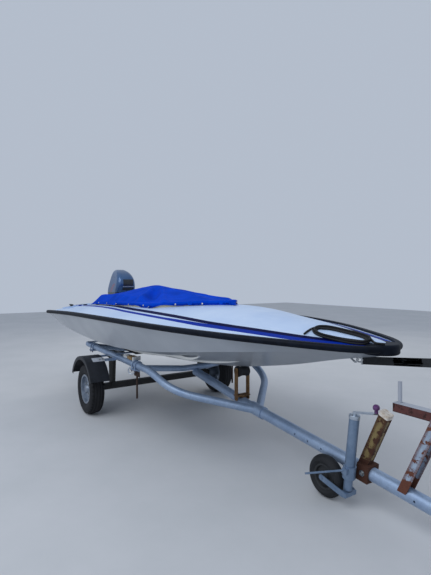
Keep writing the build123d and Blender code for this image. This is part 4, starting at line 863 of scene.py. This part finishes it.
print("bow end of the hank at height", round(hank_point(0, 0, 0, (0, 0)).z, 3))

# %% [markdown]
# The route starts at the rubber nose, goes round the hank turn by turn and ends in the free
# end. In the last part of each turn the line slides over to the next turn's place, and where
# it climbs on other turns it hops a little.

# %% Rope route
START_ANGLE = math.radians(38)
WHOLE_TURNS = 3.41
STEPS_A_TURN = 24
# Share of a turn after which the line crosses over to the next turn, and its hop there
CROSS_FROM = 0.55
CROSS_HOP = 0.008
rope_points = [Vector((AXLE_X + x, y, bed_height(AXLE_X + x, y) + ROPE_RADIUS))
               for x, y in NOSE_ROUTE]
for step in range(int(STEPS_A_TURN * WHOLE_TURNS)):
    turn = step / STEPS_A_TURN
    low = int(turn)
    share = ease((turn - low - CROSS_FROM) / 0.45)
    inset, lift = (a + (b - a) * share for a, b in zip(COIL_LAY[low], COIL_LAY[low + 1]))
    if lift > 0:
        lift += CROSS_HOP * math.sin(math.pi * share)
    shift = [a + (b - a) * share for a, b in zip(TURN_SHIFT[low], TURN_SHIFT[low + 1])]
    rope_points.append(hank_point(START_ANGLE + 2 * math.pi * turn, inset, lift, shift))
for x, y, lift in TAIL_ROUTE:
    z = deck_height(AXLE_X + x, y) + ROPE_RADIUS - 0.0005 + lift
    rope_points.append(Vector((AXLE_X + x, y, z)))
print("rope points:", len(rope_points))

# %% [markdown]
# A curve with a round bevel is the cord itself: its control points are the route.

# %% Rope on its route
rope_data = bpy.data.curves.new("mooring_rope", "CURVE")
rope_data.dimensions = "3D"
rope_data.bevel_depth = ROPE_RADIUS
rope_data.bevel_resolution = 3
rope_data.use_fill_caps = True
rope_line = rope_data.splines.new("NURBS")
rope_line.points.add(len(rope_points) - 1)
for point, at in zip(rope_line.points, rope_points):
    point.co = (*at, 1)
rope_line.order_u = 3
rope_line.use_endpoint_u = True
rope_line.resolution_u = 4
mooring_rope = put("mooring_rope", rope_data)

# %% [markdown]
# Braided polyester shows its plait as small bright humps with dark pits between them, so a
# cell pattern of about three millimetres stands up from the line.

# %% Rope finish
# Plaits a metre: 3 mm each
BRAID = 330.0
rope_black, tree, shader, place = mottled(
    "braided_black_polyester", "0A0B0E", "15161A", 60, 0.78, grain_mm=1.4, bump=0.6)[:4]
braid = add_node(tree, "TexVoronoi", {
    "feature": "F1", "Vector": place, "Scale": BRAID, "Randomness": 0.35}).outputs["Distance"]
strands = add_node(tree, "Bump", {
    "Height": braid, "Strength": 0.8, "Distance": 0.0015, "invert": True})
tree.links.new(strands.outputs["Normal"], shader.inputs["Normal"])
rope_data.materials.append(rope_black)
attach(mooring_rope, BOAT)
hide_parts("rope_coil", "rope_tail")
print("rope finished in", rope_black.name)

# %% [markdown]
# A road tyre is moulded: four grooves run round it and slots cut the shoulders into blocks. A
# lathe-like spin of the tread's profile gives the grooves as they are in the mould, and every
# third shoulder face is then pushed inwards for a slot. The crown keeps the CAD tyre's radius.

# %% Grooved road tyres
WHEEL_Z = 0.250
TRACK_HALF = 0.780
TYRE_STEPS = 108
SLOT_DEPTH = 0.0045
SLOT_NARROWING = 0.82
SIDES = ((1, "left"), (-1, "right"))
# The shoulder is further from the wheel's middle plane and from its axis than these
SHOULDER_OUT, SHOULDER_HIGH = 0.0462, 0.2375
# Half of the tread's profile from the bead out to the middle. Columns: millimetres from the
# wheel's middle plane, millimetres from its axis
TYRE_HALF = [(52.7, 133), (52.7, 147), (62, 163), (69.5, 178), (72, 195), (70.5, 212),
             (66, 226), (61, 236), (54, 243), (46, 245.2), (45, 239), (38, 240), (37, 246.8),
             (20, 249.2), (19, 243), (12, 243.4), (11, 249.7)]
tyre_rubber = mottled("weathered_tyre_rubber", "0E0F14", "1B1C20", 45, 0.8, grain_mm=1.6,
                      bump=0.25)[0]


def grooved_tyre(side, name):
    """One tyre spun round its spindle, with slots in its shoulders."""
    middle = Vector((AXLE_X, side * TRACK_HALF, WHEEL_Z))
    outline = TYRE_HALF + [(-t, r) for t, r in reversed(TYRE_HALF)]
    bm = bmesh.new()
    first = bmesh.ops.create_circle(bm, segments=len(outline), radius=1)["verts"]
    for vert, (t, r) in zip(first, outline):
        vert.co = middle + Vector((0, t / 1000, r / 1000))
    bmesh.ops.spin(bm, geom=bm.verts[:] + bm.edges[:], cent=middle, axis=(0, 1, 0),
                   angle=2 * math.pi, steps=TYRE_STEPS, use_merge=True)
    slots = []
    for face in bm.faces:
        at = face.calc_center_median() - middle
        step = round(math.atan2(at.x, at.z) / (2 * math.pi) * TYRE_STEPS - 0.5)
        shoulder = abs(at.y) > SHOULDER_OUT and math.hypot(at.x, at.z) > SHOULDER_HIGH
        if shoulder and step % 3 == (0 if at.y > 0 else 1):
            slots.append(face)
    for face in bmesh.ops.extrude_discrete_faces(bm, faces=slots)["faces"]:
        centre = face.calc_center_median()
        at = centre - middle
        bmesh.ops.scale(bm, verts=face.verts, vec=(SLOT_NARROWING, 1, SLOT_NARROWING),
                        space=Matrix.Translation(-centre))
        bmesh.ops.translate(bm, verts=face.verts,
                            vec=Vector((at.x, 0, at.z)).normalized() * -SLOT_DEPTH)
    piece = finish_piece(bm, f"grooved_tyre_{name}", tyre_rubber, f"wheel_{name}_body", angle=28)
    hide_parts(f"tyre_{name}")
    print(piece.name, "slots:", len(slots))


for side, name in SIDES:
    grooved_tyre(side, name)

# %% [markdown]
# Wheels, U-bolts and brackets are held by nuts with a washer. A hexagon with its outer rim
# bevelled, a thin round washer and a stub of thread are the whole of it at this size. Zinc
# plate keeps a dull shine; where it is gone, the nut is brown and has none.

# %% Wheel nuts
plated = mottled("zinc_plated_fastener", "A8ADB0", "8C8F90", 8, 0.35, metallic=0.9,
                 grain_mm=0.6, bump=0.05)[0]
rusty_nut = mottled("rusted_fastener", "4A2E22", "6B4330", 10, 0.85, metallic=0.2,
                    grain_mm=1.2, bump=0.4)[0]
WASHER_THICKNESS = 0.003
FLATS_TO_CORNER = 1.732


def add_bar(bm, matrix, radius, depth, segments=48, tip=None):
    """A round bar or disc about the matrix's place, along its Z; returns its points."""
    return bmesh.ops.create_cone(bm, cap_ends=True, segments=segments, radius1=radius,
                                 radius2=tip or radius, depth=depth, matrix=matrix)["verts"]


def soften(bm, edges, offset, segments=2):
    """Rounds edges off by a narrow bevel."""
    bmesh.ops.bevel(bm, geom=edges, offset=offset, offset_type="OFFSET", segments=segments,
                    profile=0.5, affect="EDGES", material=-1)


def nuts(name, places, flats, material, body):
    """Hexagon nuts with washers. Each place is a point on a face and the way out of it."""
    bm = bmesh.new()
    high = flats * 0.7
    for point, way in places:
        turn = Matrix.Translation(Vector(point)) @ facing(way)
        add_bar(bm, turn, flats * 0.95, WASHER_THICKNESS, 24)
        head = add_bar(bm, turn @ Matrix.Translation((0, 0, high / 2)),
                       flats / FLATS_TO_CORNER, high, 6)
        rim = [e for e in bm.edges if all(v in head for v in e.verts)
               and all((turn.inverted() @ v.co).z > high * 0.9 for v in e.verts)]
        soften(bm, rim, flats * 0.07)
        add_bar(bm, turn @ Matrix.Translation((0, 0, high)), flats * 0.3, high * 0.6, 12,
                tip=flats * 0.27)
    return finish_piece(bm, name, material, body)


NUT_CIRCLE = 0.060
NUT_OUT = 0.8055
# Widths across the flats of the nuts, from wheels down to mudguards
BIG_FLATS, CLAMP_FLATS, SMALL_FLATS = 0.019, 0.013, 0.010
for side, name in SIDES:
    places = []
    for step in range(4):
        turn = math.radians(45 + 90 * step)
        places.append(((AXLE_X + NUT_CIRCLE * math.sin(turn), side * NUT_OUT,
                        WHEEL_Z + NUT_CIRCLE * math.cos(turn)), (0, side, 0)))
    nuts(f"wheel_nuts_{name}", places, BIG_FLATS, plated, f"wheel_{name}_body")

# %% [markdown]
# The U-bolts over the side tubes end in nuts under their plates, four to a clamp, and the
# stub post's saddle is bolted through the drawbar. Their places follow the CAD tubes, which
# slope a little down towards the nose.

# %% U-bolt nuts and saddle bolts
TUBE_Y = 0.550
TUBE_RADIUS = 0.032
CLAMP_PLACES = (0.640, -0.560)
CLAMP_PLATE = 0.008


def tube_z(x):
    """Height of the side tubes' centre line at x forward of the axle."""
    return 0.590 - 0.030 * (x + 0.800) / 1.720


u_bolt_nuts = []
for x in CLAMP_PLACES:
    for side in (-1, 1):
        for along in (-0.032, 0.032):
            for across in (-0.0383, 0.0383):
                low = tube_z(x) - TUBE_RADIUS - 0.002 - CLAMP_PLATE
                place = (AXLE_X + x + along, side * TUBE_Y + across, low)
                u_bolt_nuts.append((place, (0, 0, -1)))
nuts("u_bolt_nuts", u_bolt_nuts, CLAMP_FLATS, rusty_nut, BOAT)

DRAWBAR_SLOPE = -0.189 / 1.750
SADDLE_X = 2.757
saddle_z = 0.331 + DRAWBAR_SLOPE * (SADDLE_X - 1.700)
saddle_bolts = [((AXLE_X + SADDLE_X, side * 0.051, saddle_z), (0, side, 0)) for side in (-1, 1)]
nuts("saddle_bolts", saddle_bolts, BIG_FLATS, plated, BOAT)

# %% [markdown]
# The winch strap is woven polyester, 45 mm wide. Loaded, it runs straight, and it has turned
# on edge between the drum and the bow, as such straps do. A grid is laid along the run and its
# cross line is turned from level at the drum to upright, then given the webbing's thickness.

# %% Winch strap on edge
webbing = mottled("woven_polyester_webbing", "17191D", "24272B", 14, 0.8, grain_mm=1.2,
                  bump=0.6)[0]
EYE = Vector((AXLE_X + 2.655, 0, 0.862))
DRUM_RADIUS = 0.034
STRAP_HALF = 0.0225
STRAP_THICKNESS = 0.0026
# Share of the run at which the strap starts to lie flat for the drum, and over which it does
FLAT_FROM, FLAT_OVER = 0.60, 0.36
ON_EDGE = Matrix.Rotation(math.pi / 2, 4, "X")
strap_node = nodes["winch_strap"]
strap_box = [strap_node.matrix_world @ Vector(corner) for corner in strap_node.bound_box]
drum = Vector((max(c.x for c in strap_box) - DRUM_RADIUS, 0,
               max(c.z for c in strap_box) - DRUM_RADIUS))
strap_low = EYE + Vector((0.066, 0, 0.013))
strap_high = drum + Vector((-0.004, 0, DRUM_RADIUS - 0.002))
run = strap_high - strap_low
upright = Vector((-run.z, 0, run.x)).normalized()
bm = bmesh.new()
bmesh.ops.create_grid(bm, x_segments=60, y_segments=4, size=1)
for v in bm.verts:
    share = (v.co.x + 1) / 2
    on_edge = (1 - ease((share - FLAT_FROM) / FLAT_OVER)) * (0.93 + 0.07 * ease(share * 3))
    turn = math.radians(90) * on_edge
    across = Vector((0, 1, 0)) * math.cos(turn) + upright * math.sin(turn)
    v.co = strap_low + run * share + across * v.co.y * STRAP_HALF
bmesh.ops.solidify(bm, geom=bm.faces[:], thickness=STRAP_THICKNESS)
add_bar(bm, Matrix.Translation(drum) @ ON_EDGE, DRUM_RADIUS, 2 * STRAP_HALF)
strap_piece = finish_piece(bm, "strap_on_edge", webbing, BOAT)
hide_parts("winch_strap")
print("strap length, m:", round(run.length, 3))

# %% [markdown]
# The jockey stem's top is closed by a bright plated collar, turned from bar with its rims
# broken. It stands square to the stem, which leans a little forward. The crank beside it has
# the same clear bright zinc, so both catch a hard highlight.

# %% Collar of the jockey stem
bright_zinc = dress_plain(["jockey_crank"], "bright_zinc_plate", "C3CCD6", "AEB8C4", 25, 0.3,
                          metallic=0.8, grain_mm=1, bump=0.05)
STEM_LEAN = math.radians(6.5)
STEM_FOOT = Vector((AXLE_X + 2.688, -0.098, 0.078))
stem_up = Vector((math.sin(STEM_LEAN), 0, math.cos(STEM_LEAN)))
stem_top = STEM_FOOT + stem_up * (0.096 + 0.385)
bm = bmesh.new()
add_bar(bm, Matrix.Translation(stem_top) @ facing(stem_up), 0.0325, 0.024)
rims = [e for e in bm.edges if sorted(len(f.verts) for f in e.link_faces) == [4, 48]]
soften(bm, rims, 0.003, segments=3)
finish_piece(bm, "jockey_stem_collar", bright_zinc, BOAT)

# %% [markdown]
# Small hardware bent from round bar: the strap's snap hook at the bow eye, a tie ring under
# each side tube and an eye at each of the cover's tie-downs. A ring is a circle of wire spun
# about its axis and, for the hook, drawn longer.


# %% Snap hook, tie rings and canvas ties
def add_ring(bm, middle, axis, across, radius, wire, stretch=1.0):
    """A ring of round wire about an axis. stretch lengthens it along across."""
    axis, across = Vector(axis).normalized(), Vector(across).normalized()
    start = len(bm.verts)
    place = Matrix.Translation(middle + across * radius) @ facing(axis.cross(across))
    verts = bmesh.ops.create_circle(bm, segments=10, radius=wire, matrix=place)["verts"]
    edges = list({e for v in verts for e in v.link_edges})
    bmesh.ops.spin(bm, geom=verts + edges, cent=middle, axis=axis, angle=2 * math.pi, steps=28,
                   use_merge=True)
    bm.verts.ensure_lookup_table()
    for v in bm.verts[start:]:
        v.co += across * (v.co - middle).dot(across) * (stretch - 1)


bm = bmesh.new()
add_ring(bm, EYE + Vector((0.048, 0, 0.012)), (0, 1, 0), run, 0.013, 0.0045, stretch=1.5)
add_bar(bm, Matrix.Translation(strap_low - run.normalized() * 0.001), 0.006, 0.052, 16)
finish_piece(bm, "strap_hook", stainless, BOAT)

bm = bmesh.new()
for side in (-1, 1):
    middle = Vector((AXLE_X + 0.560, side * (TUBE_Y + 0.022), 0.503))
    add_ring(bm, middle, (0.75, side, 0), (0, 0, 1), 0.033, 0.0055)
finish_piece(bm, "frame_tie_rings", bright_zinc, BOAT)

bm = bmesh.new()
tie_x = AXLE_X + TIE_DOWN_X
for side in (-1, 1):
    y = side * (hem_half(TIE_DOWN_X) + 0.006)
    middle = Vector((tie_x, y, deck_height(tie_x, y) + 0.008))
    add_ring(bm, middle, (1, 0, 0), (0, 0, 1), 0.010, 0.0025)
finish_piece(bm, "cover_tie_downs", stainless, BOAT)

# %% [markdown]
# A pressed flange on each end of the winch drum keeps the strap's turns from climbing off it.
# Each is a thin disc, wider than the wound strap.

# %% Drum flanges
bm = bmesh.new()
for y in (0.0305, -0.0305):
    add_bar(bm, Matrix.Translation(drum + Vector((0, y, 0))) @ ON_EDGE, 0.041, 0.004)
finish_piece(bm, "drum_flanges", plated, BOAT)

# %% [markdown]
# Short packing lies along the starboard side tube: an end of white board, an end of bare
# timber and a white strip on edge. Each is a sawn block with its corners broken.


# %% Packing pieces
def sawn_block(bm, x, y, size, turn):
    """A block with softened edges on the side tube, turned about the vertical."""
    middle = Vector((AXLE_X + x, y, tube_z(x) + TUBE_RADIUS + size[2] / 2 - 0.001))
    place = (Matrix.Translation(middle) @ Matrix.Rotation(turn, 4, "Z")
             @ Matrix.Diagonal((*size, 1)))
    made = bmesh.ops.create_cube(bm, size=1, matrix=place)["verts"]
    soften(bm, list({e for v in made for e in v.link_edges}), min(size) * 0.08)


packing_white = mottled("white_painted_timber", "DADCDD", "BFC0BE", 25, 0.6, grain_mm=2,
                        bump=0.2)[0]
bare_timber = mottled("bare_sawn_timber", "A98C62", "8A6E48", 18, 0.85, grain_mm=3,
                      bump=0.4)[0]
bm = bmesh.new()
sawn_block(bm, 0.385, -0.535, (0.075, 0.060, 0.024), 0.06)
sawn_block(bm, 0.585, -0.532, (0.018, 0.085, 0.038), 0.20)
finish_piece(bm, "packing_board", packing_white, BOAT)
bm = bmesh.new()
sawn_block(bm, 0.495, -0.532, (0.110, 0.070, 0.028), -0.05)
finish_piece(bm, "packing_timber", bare_timber, BOAT)

# %% [markdown]
# The mudguards are bolted to their stays through spreader plates, a wide one in front and a
# small one behind, cut from sheet with round corners and left blank.

# %% Spreader plates and bolts of the mudguards
blank_plate = mottled("blank_aluminium_plate", "C9CED6", "B8BEC8", 30, 0.4, metallic=0.4,
                      grain_mm=1, bump=0.05)[0]
GUARD_RADIUS = 0.330
PLATE_THICKNESS = 0.003
# Columns: side, the plate's length and width, how far it leans about the wheel, its way out
GUARD_PLATES = [
    (side, size, lean, Vector((math.sin(lean), 0, math.cos(lean))))
    for side in (-1, 1)
    for x, size in ((-0.130, (0.046, 0.064)), (0.130, (0.070, 0.122)))
    for lean in [math.asin(x / GUARD_RADIUS)]]
bm = bmesh.new()
stay_bolts = []
for side, (long, wide), lean, way in GUARD_PLATES:
    middle = (Vector((AXLE_X, side * (0.686 + wide / 2), WHEEL_Z))
              + way * (GUARD_RADIUS + 0.005 + 0.0015))
    place = (Matrix.Translation(middle) @ Matrix.Rotation(lean, 4, "Y")
             @ Matrix.Diagonal((long, wide, PLATE_THICKNESS, 1)))
    made = bmesh.ops.create_cube(bm, size=1, matrix=place)["verts"]
    corners = [e for e in {e for v in made for e in v.link_edges}
               if abs((e.verts[0].co - e.verts[1].co).normalized().dot(way)) > 0.9]
    soften(bm, corners, 0.008, segments=3)
    for y in (0.700, 0.732):
        bolt = Vector((AXLE_X, side * y, WHEEL_Z)) + way * (GUARD_RADIUS + 0.008)
        stay_bolts.append((bolt, way))
finish_piece(bm, "guard_spreader_plates", blank_plate, BOAT)
nuts("guard_bolts", stay_bolts, SMALL_FLATS, plated, BOAT)

# %% [markdown]
# The front of the cowl carries a dark moulded panel, a slot with a bright trim and a dark
# band under it. Each is a grid dropped on to the cowl's front by rays, so it follows the
# cowl's curve.

# %% Cowl panel, slot and band
PANEL_Y = 0.018
BEFORE_COWL_X = AXLE_X - 0.115
cowl_tree = ray_tree(nodes["motor_cowl"])
charcoal = mottled("charcoal_moulding", "1A1D22", "24282E", 30, 0.35, coat=0.2, grain_mm=0.8,
                   bump=0.05)[0]
slot_metal = mottled("brushed_light_trim", "B9BEC4", "A3A8AE", 20, 0.3, metallic=0.7,
                     grain_mm=0.6, bump=0.04)[0]


def cowl_patch(name, half, low, high, lift, material):
    """A thin plate on the cowl's front, between two heights, half each side of the middle."""
    bm = bmesh.new()
    bmesh.ops.create_grid(bm, x_segments=24, y_segments=8, size=1)
    for v in bm.verts:
        y, z = PANEL_Y + v.co.x * half, (low + high) / 2 + v.co.y * (high - low) / 2
        hit = cowl_tree.ray_cast(Vector((BEFORE_COWL_X, y, z)), Vector((-1, 0, 0)))[0]
        v.co = Vector((hit.x + lift, y, z))
    bmesh.ops.solidify(bm, geom=bm.faces[:], thickness=lift + 0.001)
    finish_piece(bm, name, material, "motor_steer_body")


cowl_patch("cowl_front_panel", 0.070, 1.288, 1.368, 0.003, charcoal)
cowl_patch("cowl_front_slot", 0.074, 1.272, 1.279, 0.002, slot_metal)
cowl_patch("cowl_front_band", 0.078, 1.232, 1.262, 0.003, charcoal)

# %% [markdown]
# Every CAD node should wear a finish by now, apart from those that a piece stands in for.

# %% Check for bare nodes
REPLACED = {"cockpit_cover", "rope_coil", "rope_tail", "tyre_left", "tyre_right", "winch_strap"}
bare = [name for name in nodes if not nodes[name].data.materials and name not in REPLACED]
print("bare nodes:", bare)
